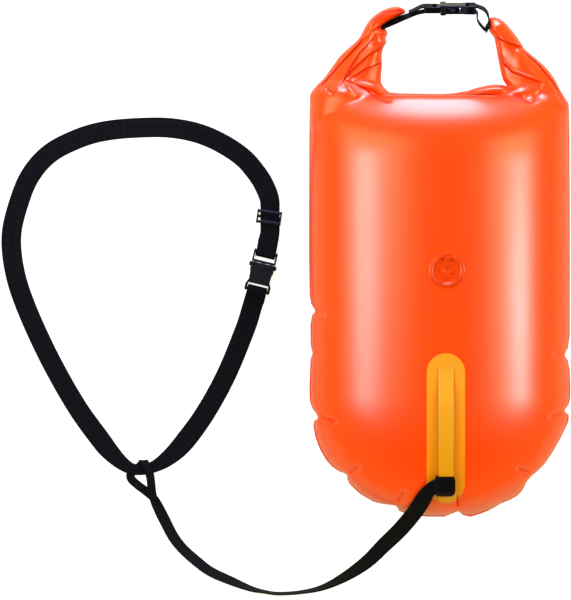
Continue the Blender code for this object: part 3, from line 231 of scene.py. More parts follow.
# Route of the tether: x, y, z, roll in degrees and share of the width
TETHER_ROUTE = [
    (-0.0055, -0.2250, 0.1622, 0, 1), (-0.0118, -0.2300, 0.1560, 0, 1), (-0.0200, -0.2400, 0.1455, 0, 1),
    (-0.0305, -0.2570, 0.1260, 0, 1), (-0.0495, -0.2806, 0.0970, 10, 1), (-0.0688, -0.3000, 0.0680, 20, 1),
    (-0.0913, -0.3224, 0.0400, 35, 1), (-0.1193, -0.3419, 0.0200, 55, 1), (-0.1475, -0.3556, 0.0115, 72, 1),
    (-0.1750, -0.3614, 0.0107, 80, 1), (-0.2030, -0.3630, 0.0107, 81, 1), (-0.2200, -0.3606, 0.0107, 80, 1),
    (-0.2366, -0.3569, 0.0104, 72, 1), (-0.2618, -0.3469, 0.0096, 60, 1), (-0.2869, -0.3356, 0.0092, 55, 1),
    (-0.3053, -0.3219, 0.0090, 52, 1), (-0.3220, -0.3069, 0.0090, 52, 1), (-0.3338, -0.2919, 0.0090, 50, 1),
    (-0.3438, -0.2731, 0.0088, 42, 0.9), (-0.3538, -0.2531, 0.0082, 20, 0.7),
    (-0.3586, -0.2432, 0.0080, 0, 0.55),
]

# Route of the tether's eye round the belt
EYE_ROUTE = [
    (-0.3574, -0.2456, 0.0088), (-0.3603, -0.2390, 0.0082), (-0.3624, -0.2200, 0.0079),
    (-0.3648, -0.2090, 0.0079), (-0.3684, -0.2018, 0.0077), (-0.3706, -0.1976, 0.0065),
    (-0.3715, -0.1964, 0.0047), (-0.3724, -0.1974, 0.0029), (-0.3742, -0.2010, 0.0015),
    (-0.3800, -0.2068, 0.0013), (-0.3862, -0.2115, 0.0013), (-0.3882, -0.2158, 0.0014),
    (-0.3856, -0.2208, 0.0018), (-0.3776, -0.2278, 0.0030), (-0.3696, -0.2336, 0.0044),
    (-0.3640, -0.2382, 0.0051), (-0.3602, -0.2412, 0.0055),
]

# Route of the belt from the adjuster to the female bar: x, y, z and its share of the full width
BELT_ROUTE = [
    (-0.2152, 0.0790, 0.0066, 1), (-0.2132, 0.0870, 0.0049, 0.97), (-0.2126, 0.0930, 0.0043, 0.97),
    (-0.2126, 0.1094, 0.0043, 0.97), (-0.2126, 0.1260, 0.0043, 0.97), (-0.2134, 0.1330, 0.0042, 0.98),
    (-0.2178, 0.1450, 0.0028, 1), (-0.2263, 0.1606, 0.0012, 1), (-0.2450, 0.1831, 0.0010, 1),
    (-0.2713, 0.2013, 0.0010, 1), (-0.3025, 0.2150, 0.0010, 1), (-0.3388, 0.2219, 0.0010, 1),
    (-0.3788, 0.2219, 0.0010, 1), (-0.4188, 0.2181, 0.0010, 1), (-0.4525, 0.2088, 0.0010, 1),
    (-0.4888, 0.1900, 0.0010, 1), (-0.5138, 0.1619, 0.0010, 1), (-0.5288, 0.1256, 0.0010, 1),
    (-0.5375, 0.0856, 0.0010, 1), (-0.5331, 0.0406, 0.0010, 1), (-0.5181, -0.0056, 0.0010, 1),
    (-0.4900, -0.0669, 0.0010, 1), (-0.4563, -0.1269, 0.0010, 1), (-0.4250, -0.1706, 0.0014, 1),
    (-0.4125, -0.1860, 0.0026, 0.9), (-0.3988, -0.1990, 0.0042, 0.72), (-0.3868, -0.2062, 0.0048, 0.58),
    (-0.3738, -0.2076, 0.0049, 0.54), (-0.3600, -0.2045, 0.0047, 0.58), (-0.3419, -0.1938, 0.0030, 0.8),
    (-0.3206, -0.1731, 0.0012, 1), (-0.2931, -0.1350, 0.0010, 1), (-0.2669, -0.0869, 0.0010, 1),
    (-0.2438, -0.0306, 0.0010, 1), (-0.2360, -0.0060, 0.0014, 1), (-0.2309, 0.0110, 0.0020, 1),
]

# The belt's free end under the slider
BELT_TAIL = [
    (-0.2130, 0.1310, 0.0026, 0.92), (-0.2128, 0.1200, 0.0027, 0.94), (-0.2128, 0.1094, 0.0027, 0.94),
    (-0.2128, 0.0930, 0.0027, 0.94), (-0.2134, 0.0850, 0.0025, 0.97),
]

# Straps of the roll's buckle, seen from above, up to the bar and after it
LEFT_STRAP_BEFORE = [
    (-0.0760, 0.3468), (-0.0600, 0.3530), (-0.0480, 0.3578), (-0.0380, 0.3615), (-0.0290, 0.3646),
]
LEFT_STRAP_AFTER = [(-0.0250, 0.3720), (-0.0320, 0.3682), (-0.0390, 0.3652)]
RIGHT_STRAP_BEFORE = [
    (0.0572, 0.3436), (0.0606, 0.3490), (0.0614, 0.3550), (0.0603, 0.3612), (0.0572, 0.3672),
    (0.0530, 0.3705),
]
RIGHT_STRAP_AFTER = [
    (0.0470, 0.3640), (0.0462, 0.3590), (0.0482, 0.3530), (0.0520, 0.3480), (0.0562, 0.3436),
]

# Rolled film seen from above, in the photograph's pixels: its two edges, then half its height in
# millimetres
LEFT_ARM = [
    ((309.8, 140), (398, 140), 40), ((309.8, 120), (395, 118), 40), ((309.8, 104), (392, 102), 37),
    ((310.4, 94), (390, 93.5), 34), ((317, 85), (383, 86), 27), ((324, 78), (381, 79), 23),
    ((332, 67), (382, 66), 21),
    ((340, 56), (382, 54), 20), ((349, 47.5), (384, 47), 20), ((356, 41.5), (386.6, 42.5), 20),
    ((360.5, 36), (386, 38), 20), ((363.5, 30), (389, 31), 20), ((367, 26), (391, 26), 18),
]
LEFT_TIP = [
    ((359, 42), (372, 41), 14), ((361.5, 34), (375, 33), 17), ((366, 25), (380.5, 27.5), 18),
    ((372, 17.5), (386, 23), 18.5), ((380, 11.5), (393, 19), 18.5), ((388, 8), (399, 16), 18),
    ((396, 6.4), (403.5, 13.8), 17), ((402.5, 7), (407, 12.2), 15),
]
RIGHT_ARM = [
    ((460, 140), (569, 140), 40), ((463, 118), (569, 120), 38), ((468, 104), (568.8, 105), 36),
    ((488, 94), (566.5, 100), 31), ((506, 87.5), (560.5, 90), 26), ((502.5, 79), (553.5, 77), 22),
    ((499.5, 66), (543, 64.5), 20),
    ((497, 53), (526, 50), 19), ((495.4, 44), (521.5, 43.5), 18.5), ((494, 38), (515, 34), 18),
    ((490, 32.5), (506, 23.5), 17.5), ((487.5, 28.5), (498, 16), 16.5), ((486.5, 24), (491.5, 13.5), 15),
]

# Curled lips beside the arms: their middle line in pixels, then their size in millimetres
LEFT_LIP = [
    ((345, 81), 2), ((352, 83), 8), ((362, 84.5), 12), ((374, 88.5), 14), ((383, 95), 11), ((389, 100), 3),
]
RIGHT_LIP = [
    ((462, 95.5), 2), ((470, 94), 8), ((480, 92.5), 11), ((492, 91), 12.5), ((503, 91), 12), ((510, 92), 8),
]
LIP_LIFT = 8 * MM
LIP_SHARES = (0.62, 1.25)

# Folds pressed into the film, seen from above in pixels: their line, then depth and width in
# millimetres
LEFT_FOLDS = [
    ([(320, 84), (334, 69), (348, 56), (362, 42), (371, 33)], 3.0, 3.2),
    ([(346, 84), (352, 92), (360, 98)], -3.0, 3.0),
    ([(326, 88), (333, 95)], 3.0, 2.2),
]
RIGHT_FOLDS = [
    ([(502, 53), (504, 62), (512, 70), (524, 75), (542, 82), (540, 88)], -2.2, 2.2),
    ([(512, 94), (522, 97), (531, 104)], 4.0, 2.4),
    ([(542, 90), (531, 104)], 3.0, 2.4),
    ([(556, 94), (561, 99), (564, 104)], 3.0, 2.0),
]

# Overlaps seen from above in pixels: the upper layer's edge with the lower layer on its left, then
# the drop behind it and its reach in millimetres
LEFT_LAPS = [
    ([(343, 80), (354, 84), (366, 90.5), (380, 101), (390, 105)], 6.0, 16.0),
    ([(368, 33), (356, 47), (342, 62), (326, 80), (318, 88)], 3.0, 8.0),
    ([(376, 36), (360, 52), (350, 68), (338, 90)], 3.5, 8.0),
    ([(386, 45), (366, 57), (352, 70), (343, 82)], 4.0, 9.0),
    ([(383, 62), (366, 69), (347, 80)], 3.5, 9.0),
]
RIGHT_LAPS = [
    ([(523, 47.5), (508, 43), (494, 37)], 5.0, 10.0),
    ([(546, 84), (524, 77.5), (512, 72.5), (503, 63), (501, 52)], 3.0, 9.0),
    ([(563, 99), (553, 82), (538, 64), (520, 49)], 2.5, 8.0),
]
TIP_LAPS = [([(368, 24), (385, 14.5), (405, 9.5)], 3.0, 6.0)]
LAP_EDGE = 0.8 * MM

# Painted shade along the film's creases, seen from above in pixels: their line, then its darkness
LAP_PAINTED_SHADE = 0.85
TOP_EDGE_CREASES = [([(380, 95), (412, 95.4), (438, 95.6), (464, 96), (480, 97)], 0.8)]
SIDE_CREASES = [
    ([(512, 94), (531, 104)], 0.7), ([(542, 90), (531, 104)], 0.7), ([(326, 88), (333, 95)], 0.8),
    ([(345, 81), (333, 95)], 0.5), ([(556, 94), (564, 104)], 0.5),
    ([(370, 22), (385, 13), (404, 8.5)], 0.9), ([(469, 98.5), (488, 94), (507, 87)], 0.9),
]

# Rolled film: the power that fills out its section, how soon its ends close, its ripples round and
# along it, how it sinks into the body's film and how its foot drops there
ARM_POWER = 0.85
ARM_END_STEEPNESS = 18
ARM_RIPPLES = ((0.045, 3, 9), (0.03, 5, -13))
ARM_SINK = 1.5 * MM
ARM_BLEND = 5 * MM
ARM_FOOT_SHARE = 0.26
ARM_FOOT_DROP = 6 * MM

# Where the arms' folds and overlaps run out on the front and back film
SHOULDER_Y = 230 * MM
SHOULDER_REACH = 20 * MM
SHOULDER_FOLD_SHARE = 0.6

# Middle of the roll behind the top seam, and its size
ROLL_MIDDLE = [
    (-0.1000, 0.2672, 0.0477), (-0.0780, 0.2638, 0.0377), (-0.0520, 0.2600, 0.0297),
    (-0.0200, 0.2590, 0.0277), (0.0100, 0.2590, 0.0277), (0.0320, 0.2622, 0.0347),
    (0.0520, 0.2660, 0.0427), (0.0720, 0.2680, 0.0477), (0.1000, 0.2680, 0.0477),
]
ROLL_MIDDLE_HALF = (5 * MM, 12 * MM)
ROLL_END_STEEPNESS = 20

# Length of one band of Blender's wave texture at scale 1
WAVE_BAND = math.tau / 20


def linear(hex_colour):
    """sRGB hex colour as linear light, which the shaders work in."""
    values = [int(hex_colour[i:i + 2], 16) / 255 for i in (1, 3, 5)]
    return [v / 12.92 if v <= 0.04045 else ((v + 0.055) / 1.055) ** 2.4 for v in values] + [1.0]


def add(tree, kind, settings=None, **links):
    """One node: its settings by attribute or socket name, a ramp's stops, and what feeds its sockets."""
    node = tree.nodes.new(kind)
    for key, value in (settings or {}).items():
        if key == "stops":
            elements = node.color_ramp.elements
            while len(elements) < len(value):
                elements.new(0.5)
            for element, (place, colour) in zip(elements, value):
                element.position = place
                element.color = colour
        elif key in node.inputs:
            node.inputs[key].default_value = value
        else:
            setattr(node, key, value)
    for key, source in links.items():
        tree.links.new(source, node.inputs[key.replace("_", " ")])
    return node


def new_material(name):
    """A material with only its output, and that output."""
    material = bpy.data.materials.new(name)
    material.use_nodes = True
    material.node_tree.nodes.clear()
    return material, material.node_tree, add(material.node_tree, "ShaderNodeOutputMaterial")


def coated_film(name, main, roughness):
    """TPU film on woven polyester, calendered and RF-welded: a smooth satin gloss over a just
    visible cloth grain, with slow waves where the coating is thicker."""
    material, tree, output = new_material(name)
    place = add(tree, "ShaderNodeTexCoord").outputs["Object"]
    waves = add(tree, "ShaderNodeTexNoise", {"Scale": 1 / (16 * MM), "Detail": 1.0}, Vector=place)
    # The base cloth has threads 0.3 mm apart, drawn 7.54 mm apart so that they show
    cloth = add(tree, "ShaderNodeMath", {"operation": "ADD"})
    for i, way in enumerate(("X", "Y")):
        threads = add(tree, "ShaderNodeTexWave",
                      {"bands_direction": way, "Scale": WAVE_BAND / (7.54 * MM)}, Vector=place)
        tree.links.new(threads.outputs["Fac"], cloth.inputs[i])
    grain = add(tree, "ShaderNodeBump", {"Strength": 0.02, "Distance": 0.2 * MM},
                Height=cloth.outputs["Value"])
    rough = add(tree, "ShaderNodeMapRange", {"To Min": roughness - 0.01, "To Max": roughness + 0.03},
                Value=waves.outputs["Fac"])
    # Painted shade: along the creases the film's colour is painted deep red and its gloss dimmed, as if they
    # saw only film
    crease = add(tree, "ShaderNodeAttribute", {"attribute_name": "crease"}).outputs["Fac"]
    dark = add(tree, "ShaderNodeValToRGB", {"stops": [(0.0, (1, 1, 1, 1)), (1.0, CREASE_PAINTED_SHADE)]}, Fac=crease)
    shades = []
    for bright in (linear(main)[:3], FILM_GLOSS):
        darkened = add(tree, "ShaderNodeVectorMath", {"operation": "MULTIPLY"}, Vector=dark.outputs["Color"])
        darkened.inputs[1].default_value = bright
        shades.append(darkened.outputs["Vector"])
    # The lacquer on the film doubles what bare plastic mirrors
    shader = add(tree, "ShaderNodeBsdfPrincipled", {"IOR": 1.5, "Specular IOR Level": 1.0},
                 Base_Color=shades[0], Specular_Tint=shades[1], Roughness=rough.outputs["Result"],
                 Normal=grain.outputs["Normal"])
    tree.links.new(shader.outputs["BSDF"], output.inputs["Surface"])
    return material


def woven_webbing(name, low, high, rib):
    """Polyester webbing woven on a needle loom: rows of weft ribs crossed by warp lines, matt,
    with a painted sheen and painted shade: the ribs' tops are painted lighter and the grooves
    between them darker. UV is in metres, across and along the strap."""
    material, tree, output = new_material(name)
    place = add(tree, "ShaderNodeTexCoord").outputs["Object"]
    uv = add(tree, "ShaderNodeUVMap", {"uv_map": "UVMap"}).outputs["UV"]
    weft = {"bands_direction": "Y", "Scale": WAVE_BAND / rib, "Distortion": 0.6}
    warp = {"bands_direction": "X", "Scale": WAVE_BAND / (1.6 * rib)}
    weave = add(tree, "ShaderNodeMath", {"operation": "MULTIPLY"})
    for i, threads in enumerate((weft, warp)):
        wave = add(tree, "ShaderNodeTexWave", threads, Vector=uv)
        tree.links.new(wave.outputs["Fac"], weave.inputs[i])
    height = weave.outputs["Value"]
    # The colour follows the weave's height: painted shade in the grooves, a painted sheen on the ribs' tops
    stops = [(0.0, linear(low)), (1.0, linear(high))]
    colour = add(tree, "ShaderNodeValToRGB", {"stops": stops}, Fac=height)
    fuzz = add(tree, "ShaderNodeTexNoise", {"Scale": 1 / (0.8 * MM), "Detail": 3.0}, Vector=place)
    ribs = add(tree, "ShaderNodeBump", {"Strength": 0.8, "Distance": 0.4 * MM}, Height=height)
    hair = add(tree, "ShaderNodeBump", {"Strength": 0.3, "Distance": 0.15 * MM},
               Height=fuzz.outputs["Fac"], Normal=ribs.outputs["Normal"])
    shader = add(tree, "ShaderNodeBsdfPrincipled",
                 {"IOR": 1.45, "Roughness": 0.8, "Specular IOR Level": 0.15},
                 Base_Color=colour.outputs["Color"], Normal=hair.outputs["Normal"])
    tree.links.new(shader.outputs["BSDF"], output.inputs["Surface"])
    return material


def moulded_acetal(name, main, roughness, gloss):
    """Acetal, injection moulded in a spark-finished tool: even black with a tight satin gloss and
    a fine grain that breaks the highlight."""
    material, tree, output = new_material(name)
    place = add(tree, "ShaderNodeTexCoord").outputs["Object"]
    flow = add(tree, "ShaderNodeTexNoise", {"Scale": 1 / (9 * MM), "Detail": 1.0}, Vector=place)
    rough = add(tree, "ShaderNodeMapRange", {"To Min": roughness - 0.05, "To Max": roughness + 0.08},
                Value=flow.outputs["Fac"])
    # The tool's grain is about 0.05 mm, drawn at 0.4 mm so that it shows
    grain = add(tree, "ShaderNodeTexNoise", {"Scale": 1 / (0.4 * MM), "Detail": 2.0}, Vector=place)
    bump = add(tree, "ShaderNodeBump", {"Strength": 0.12, "Distance": 0.05 * MM},
               Height=grain.outputs["Fac"])
    shader = add(tree, "ShaderNodeBsdfPrincipled",
                 {"IOR": 1.48, "Base Color": linear(main), "Specular IOR Level": gloss},
                 Roughness=rough.outputs["Result"], Normal=bump.outputs["Normal"])
    tree.links.new(shader.outputs["BSDF"], output.inputs["Surface"])
    return material


def soft_pvc(name, main, edge, roughness):
    """Plasticised PVC, injection moulded: glossy and slightly waxy, with soft marks where it flowed."""
    material, tree, output = new_material(name)
    place = add(tree, "ShaderNodeTexCoord").outputs["Object"]
    flow = add(tree, "ShaderNodeTexNoise", {"Scale": 1 / (6 * MM), "Detail": 2.0}, Vector=place)
    stops = [(0.35, linear(edge)), (0.65, linear(main))]
    colour = add(tree, "ShaderNodeValToRGB", {"stops": stops}, Fac=flow.outputs["Fac"])
    bump = add(tree, "ShaderNodeBump", {"Strength": 0.06, "Distance": 0.3 * MM}, Height=flow.outputs["Fac"])
    shader = add(tree, "ShaderNodeBsdfPrincipled",
                 {"IOR": 1.53, "Roughness": roughness, "Specular Tint": (*FILM_GLOSS, 1.0)},
                 Base_Color=colour.outputs["Color"], Normal=bump.outputs["Normal"])
    tree.links.new(shader.outputs["BSDF"], output.inputs["Surface"])
    return material


def studio_paper(name):
    """Matt white paper sweep: near white to the camera, and dim and warm where gloss mirrors it."""
    material, tree, output = new_material(name)
    seen = add(tree, "ShaderNodeLightPath").outputs["Is Camera Ray"]
    stops = [(0.0, (*FLOOR_IN_GLOSS, 1)), (1.0, (FLOOR_SEEN,) * 3 + (1,))]
    glow = add(tree, "ShaderNodeValToRGB", {"stops": stops}, Fac=seen)
    shader = add(tree, "ShaderNodeBsdfPrincipled",
                 {"Base Color": linear("#9A9A9A"), "Roughness": 0.9, "Emission Strength": 1.0,
                  "Specular IOR Level": 0.0}, Emission_Color=glow.outputs["Color"])
    material.cycles.emission_sampling = "NONE"
    tree.links.new(shader.outputs["BSDF"], output.inputs["Surface"])
    return material


def build_materials():
    """Every finish of the buoy."""
    return {
        "film": coated_film("orange_tpu_film_calendered", "#D03200", 0.29),
        "back_film": coated_film("orange_tpu_film_calendered_back", "#D03200", 0.29),
        "patch": coated_film("yellow_tpu_film_calendered", "#C27200", 0.42),
        "band": coated_film("yellow_tpu_band_calendered", "#AE7600", 0.42),
        "pouch": coated_film("clear_tpu_film_blown", "#B6B6B2", 0.30),
        "valve": soft_pvc("orange_pvc_moulded", "#B43002", "#A62600", 0.30),
        # The weft's ribs are 1.3 mm apart, drawn 8.17 mm apart so that they show
        # Its two blacks are the painted shade of the grooves and the painted sheen of the ribs
        "webbing": woven_webbing("black_polyester_webbing_woven", "#020202", "#060606", 8.17 * MM),
        "acetal": moulded_acetal("black_acetal_moulded", "#050505", 0.34, 0.4),
        "dull_acetal": moulded_acetal("black_acetal_moulded_dull", "#050505", 0.35, 0.08),
    }


def deselect():
    """Nothing selected, in object mode."""
    for item in list(bpy.context.selected_objects):
        item.select_set(False)


def claim(name, material):
    """Name the piece that an operator has just made, and give it its finish."""
    piece = bpy.context.object
    piece.name = name
    piece.data.name = name
    piece.data.materials.clear()
    piece.data.materials.append(MATERIALS[material])
    return piece


def make_active(piece):
    """Select one piece alone for the operators that follow."""
    deselect()
    piece.select_set(True)
    bpy.context.view_layer.objects.active = piece


@contextmanager
def editing(piece, select="SELECT"):
    """Edit mode on one piece, with all of its mesh selected or none of it."""
    make_active(piece)
    bpy.ops.object.mode_set(mode="EDIT")
    bpy.ops.mesh.select_all(action=select)
    yield
    bpy.ops.object.mode_set(mode="OBJECT")


def dress(piece, body, node=None):
    """Which body carries a piece, and the node that it stands for, which is hidden."""
    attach(piece, body)
    if node:
        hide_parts(node)


def add_modifier(piece, kind, **settings):
    """Add a modifier and apply it at once."""
    modifier = piece.modifiers.new(kind.lower(), kind)
    for key, value in settings.items():
        setattr(modifier, key, value)
    make_active(piece)
    bpy.ops.object.modifier_apply(modifier=modifier.name)


def shade(piece, degrees=40):
    """Smooth shading that keeps real edges."""
    make_active(piece)
    bpy.ops.object.shade_smooth_by_angle(angle=math.radians(degrees))


def grid_piece(name, material, columns, rows, place, uv_size=None):
    """A grid whose points are moved to place(u, v), u and v from 0 to 1, as one array."""
    deselect()
    bpy.ops.mesh.primitive_grid_add(x_subdivisions=columns, y_subdivisions=rows, size=1)
    piece = claim(name, material)
    flat = np.empty(len(piece.data.vertices) * 3)
    piece.data.vertices.foreach_get("co", flat)
    flat = flat.reshape(-1, 3) + 0.5
    points = place(np.clip(flat[:, 0], 0, 1), np.clip(flat[:, 1], 0, 1))
    piece.data.vertices.foreach_set("co", np.asarray(points, float).ravel())
    if uv_size:
        layer = piece.data.uv_layers[0]
        uv = np.empty(len(layer.data) * 2)
        layer.data.foreach_get("uv", uv)
        uv = uv.reshape(-1, 2) * uv_size
        layer.data.foreach_set("uv", uv.ravel())
        layer.name = "UVMap"
    piece.data.update()
    return piece


def merge_doubles(piece, distance=0.02 * MM):
    """Weld the points that meet, and point the faces outwards."""
    with editing(piece):
        bpy.ops.mesh.remove_doubles(threshold=distance)
        bpy.ops.mesh.normals_make_consistent(inside=False)


def lathe(name, material, profile, vertices=72):
    """Round piece of the valve built upwards: a disc extruded and resized through the profile's steps."""
    deselect()
    middle = Vector((*VALVE, VALVE_FACE_Z))
    (radius, height), *rest = [(step[0] * MM, step[1] * MM) for step in profile]
    bpy.ops.mesh.primitive_circle_add(vertices=vertices, radius=radius, fill_type="NGON",
                                      location=middle + Vector((0, 0, height)))
    piece = claim(name, material)
    bpy.ops.object.transform_apply(location=True, rotation=True, scale=True)
    with editing(piece):
        for next_radius, next_height in rest:
            bpy.ops.mesh.extrude_region_move(TRANSFORM_OT_translate={"value": (0, 0, next_height - height)})
            share = next_radius / radius
            bpy.ops.transform.resize(value=(share, share, 1), center_override=middle)
            radius, height = next_radius, next_height
        bpy.ops.mesh.select_all(action="SELECT")
        bpy.ops.mesh.normals_make_consistent(inside=False)
    shade(piece, 35)
    return piece


def run_out(along, steepness, least=0.0):
    """1 along a line from 0 to 1, falling to the least value at its two ends."""
    return np.clip(steepness * np.minimum(along, 1 - along) + least, 0, 1)


def eased(share):
    """Share from 0 to 1 with a soft start and a soft end."""
    share = np.clip(share, 0, 1)
    return share * share * (3 - 2 * share)


def from_pixel(x, y):
    """Place on the frame, in metres, of a pixel of the photograph."""
    return (x - PIXEL_ORIGIN[0]) * PIXEL, (PIXEL_ORIGIN[1] - y) * PIXEL


def half_width(y):
    """Half the body's width at y: straight sides, a round bottom and small shoulder corners."""
    top = TOP_SEAM_Y - TOP_CORNER_RADIUS
    radius = np.where(y < BOTTOM_CENTRE_Y, BOTTOM_END_RADIUS, TOP_CORNER_RADIUS)
    drop = np.where(y < BOTTOM_CENTRE_Y, BOTTOM_CENTRE_Y - y, np.maximum(y - top, 0))
    return BODY_HALF_WIDTH - radius + np.sqrt(np.maximum(radius ** 2 - drop ** 2, 0))


def half_depth(y):
    """How far one skin bulges from the seam along the body's middle line."""
    share = np.maximum((BOTTOM_CENTRE_Y - y) / BOTTOM_END_RADIUS, (y - TOP_FOOT_Y) / TOP_END_LENGTH)
    share = np.clip(share, 0, 1)
    return (BODY_HALF_DEPTH - SEAM_LIFT) * (1 - share ** END_FULLNESS) ** (1 / END_FULLNESS)


def swell(x, y):
    """Extra height of the front film where it bulges over the roll behind the top seam."""
    rise = SWELL_HEIGHT * np.exp(np.minimum(y - TOP_SEAM_Y, 0) / SWELL_REACH)
    edge = np.sqrt(np.clip((TOP_SEAM_Y - y) / SWELL_EDGE, 0, 1))
    return rise * edge * np.exp(-(np.abs(x - SWELL_X) / SWELL_HALF_WIDTH) ** 4)


def film_height(x, y):
    """Height of the smooth film over the seam at x and y, nothing outside it."""
    share = np.clip(np.abs(x) / half_width(np.minimum(y, TOP_SEAM_Y)), 0, 1)
    return np.where(y < TOP_SEAM_Y, half_depth(y) * np.sqrt(1 - share ** 2), 0)


def seam_place(x, y):
    """Distance along the seam from the bottom's middle, negative on the left side."""
    beyond = np.maximum(np.abs(x) - BOTTOM_FLAT / 2, 0)
    arc = BOTTOM_FLAT / 2 + BOTTOM_END_RADIUS * np.arctan2(beyond, np.maximum(BOTTOM_CENTRE_Y - y, 1e-9))
    place = np.where(y >= BOTTOM_CENTRE_Y, SEAM_ARC + y - BOTTOM_CENTRE_Y,
                     np.where(beyond > 0, arc, np.abs(x)))
    return np.where(x < 0, -place, place)


def seam_inset(x, y):
    """How far a point lies inside the plain outline of the seam."""
    beyond = np.maximum(np.abs(x) - BOTTOM_FLAT / 2, 0)
    below = np.maximum(BOTTOM_CENTRE_Y - y, 0)
    return np.where(below > 0, BOTTOM_END_RADIUS - np.hypot(beyond, below), BODY_HALF_WIDTH - np.abs(x))


def outline_table():
    """The outline's places along the seam and how far it lies inside the plain one."""
    corners = np.array([from_pixel(*corner) for corner in SEAM_OUTLINE])
    place = seam_place(corners[:, 0], corners[:, 1])
    order = np.argsort(place)
    return place[order], seam_inset(corners[:, 0], corners[:, 1])[order]


def drawn_in(x, y, height):
    """How far the outline's dips and the gathers at the seam draw the film in."""
    place = seam_place(x, y)
    dip = np.interp(place, *OUTLINE)
    phase = place * 2 * math.pi / GATHER_WAVE
    ripple = np.sin(phase) + 0.6 * np.sin(phase * 0.61 + 1.3) + 0.4 * np.sin(phase * 1.73 + 0.4)
    return (dip * np.maximum(1 - height / OUTLINE_FADE, 0) ** 1.5
            + GATHER_HEIGHT * (1 + ripple) * np.maximum(1 - height / GATHER_REACH, 0) ** 2)


def from_line(points, line):
    """Distance of each point from a line in pixels, its share along it and whether it lies to the left."""
    corners = np.array([from_pixel(*corner) for corner in line])
    nearest = np.full(len(points), 1e9)
    along = np.zeros(len(points))
    left = np.zeros(len(points), bool)
    for i, (a, b) in enumerate(zip(corners, corners[1:])):
        run = b - a
        share = np.clip(((points - a) @ run) / (run @ run), 0, 1)
        away = points - a - share[:, None] * run
        distance = np.linalg.norm(away, axis=1)
        closer = distance < nearest
        along = np.where(closer, (i + share) / (len(corners) - 1), along)
        left = np.where(closer, run[0] * away[:, 1] - run[1] * away[:, 0] > 0, left)
        nearest = np.minimum(nearest, distance)
    return nearest, along, left


def pressed(points, folds, depth_share=1.0):
    """How deep the folds press the film at each point, seen from above."""
    total = np.zeros(len(points))
    for line, depth, width in folds:
        nearest, along, _ = from_line(points, line)
        total += depth * MM * depth_share * run_out(along, 4, 0.25) * np.exp(-nearest / (width * MM))
    return total


def lapped(points, laps):
    """How far the film drops left of each overlap's edge, easing back with the distance."""
    total = np.zeros(len(points))
    for line, depth, reach in laps:
        nearest, along, left = from_line(points, line)
        step = np.where(left, np.clip(nearest / LAP_EDGE, 0, 1) * np.exp(-nearest / (reach * MM)), 0)
        total += depth * MM * run_out(along, 5) * step
    return total


def paint_crease_shade(piece, lines):
    """Store on the mesh how near each point lies to the bottom of a crease, for the shade painted there."""
    points = np.empty(len(piece.data.vertices) * 3)
    piece.data.vertices.foreach_get("co", points)
    points = points.reshape(-1, 3)
    value = np.zeros(len(points))
    for line, strength in lines:
        nearest, along, _ = from_line(points[:, :2], line)
        dark = strength * run_out(along, 6, 0.3) * np.exp(-(nearest / CREASE_WIDTH) ** 2)
        value = np.maximum(value, dark)
    layer = piece.data.attributes.new("crease", "FLOAT", "POINT")
    layer.data.foreach_set("value", value)


def body_points(angle, y, side):
    """Points of the front (side 1) or back (side -1) film on the half ring at y."""
    x = half_width(y) * np.cos(angle)
    height = half_depth(y) * np.sin(angle) + swell(x, y) * (side > 0)
    level = SEAM_Z + side * SEAM_LIFT
    base = np.stack([x, y, level + side * height], axis=1)
    core = np.stack([np.clip(x, -BOTTOM_FLAT / 2, BOTTOM_FLAT / 2),
                     np.clip(y, BOTTOM_CENTRE_Y, TOP_FOOT_Y), np.full_like(y, level)], axis=1)
    inward = core - base
    inward /= np.maximum(np.linalg.norm(inward, axis=1, keepdims=True), 1e-9)
    points = base + inward * drawn_in(x, y, height)[:, None]
    depth = pressed(points[:, :2], SEAM_CREASES) * np.clip(height / CREASE_CLIMB, 0, 1)
    points[:, 2] = np.maximum(points[:, 2] - side * np.minimum(depth, height * 0.8), 0)
    return points


def film_place(side):
    """Place of one skin's grid: u from the right seam over the crown to the left, v up the body."""
    bottom_share, top_share = 0.42, 0.20

    def place(u, v):
        low = np.clip(v / bottom_share, 0, 1)
        high = np.clip((v - 1 + top_share) / top_share, 0, 1)
        middle = np.clip((v - bottom_share) / (1 - bottom_share - top_share), 0, 1)
        y = np.where(v < bottom_share, BOTTOM_CENTRE_Y - BOTTOM_END_RADIUS * np.cos(low * math.pi / 2),
                     BOTTOM_CENTRE_Y + (TOP_FOOT_Y - BOTTOM_CENTRE_Y) * middle)
        y = np.where(high > 0, TOP_FOOT_Y + TOP_END_LENGTH * np.sin(high * math.pi / 2), y)
        angle = math.pi * (1 - u)
        points = body_points(angle, y, side)
        shoulder = np.clip((points[:, 1] - SHOULDER_Y) / SHOULDER_REACH, 0, 1)
        folds = pressed(points[:, :2], LEFT_FOLDS + RIGHT_FOLDS, SHOULDER_FOLD_SHARE)
        folds += lapped(points[:, :2], LEFT_LAPS)
        points[:, 2] -= side * folds * shoulder * np.clip(np.sin(angle) * 3, 0, 1)
        return points

    return place


def front_point(x, y, lift=0.0):
    """Point over the front film at x and y, lifted square to it."""
    step = 0.5 * MM

    def at(px, py):
        angle = math.acos(max(min(px / float(half_width(np.array(py))), 1), -1))
        return Vector(body_points(np.array([angle]), np.array([py]), 1)[0])

    here = at(x, y)
    normal = (at(x + step, y) - here).cross(at(x, y + step) - here).normalized()
    return here + normal * lift


def delete_faces(piece, test):
    """Remove the faces whose middle passes the test."""
    make_active(piece)
    bpy.ops.object.mode_set(mode="EDIT")
    bpy.ops.mesh.select_mode(type="FACE")
    bpy.ops.mesh.select_all(action="DESELECT")
    bpy.ops.object.mode_set(mode="OBJECT")
    for polygon in piece.data.polygons:
        polygon.select = bool(test(polygon.center))
    bpy.ops.object.mode_set(mode="EDIT")
    bpy.ops.mesh.delete(type="FACE")
    bpy.ops.object.mode_set(mode="OBJECT")


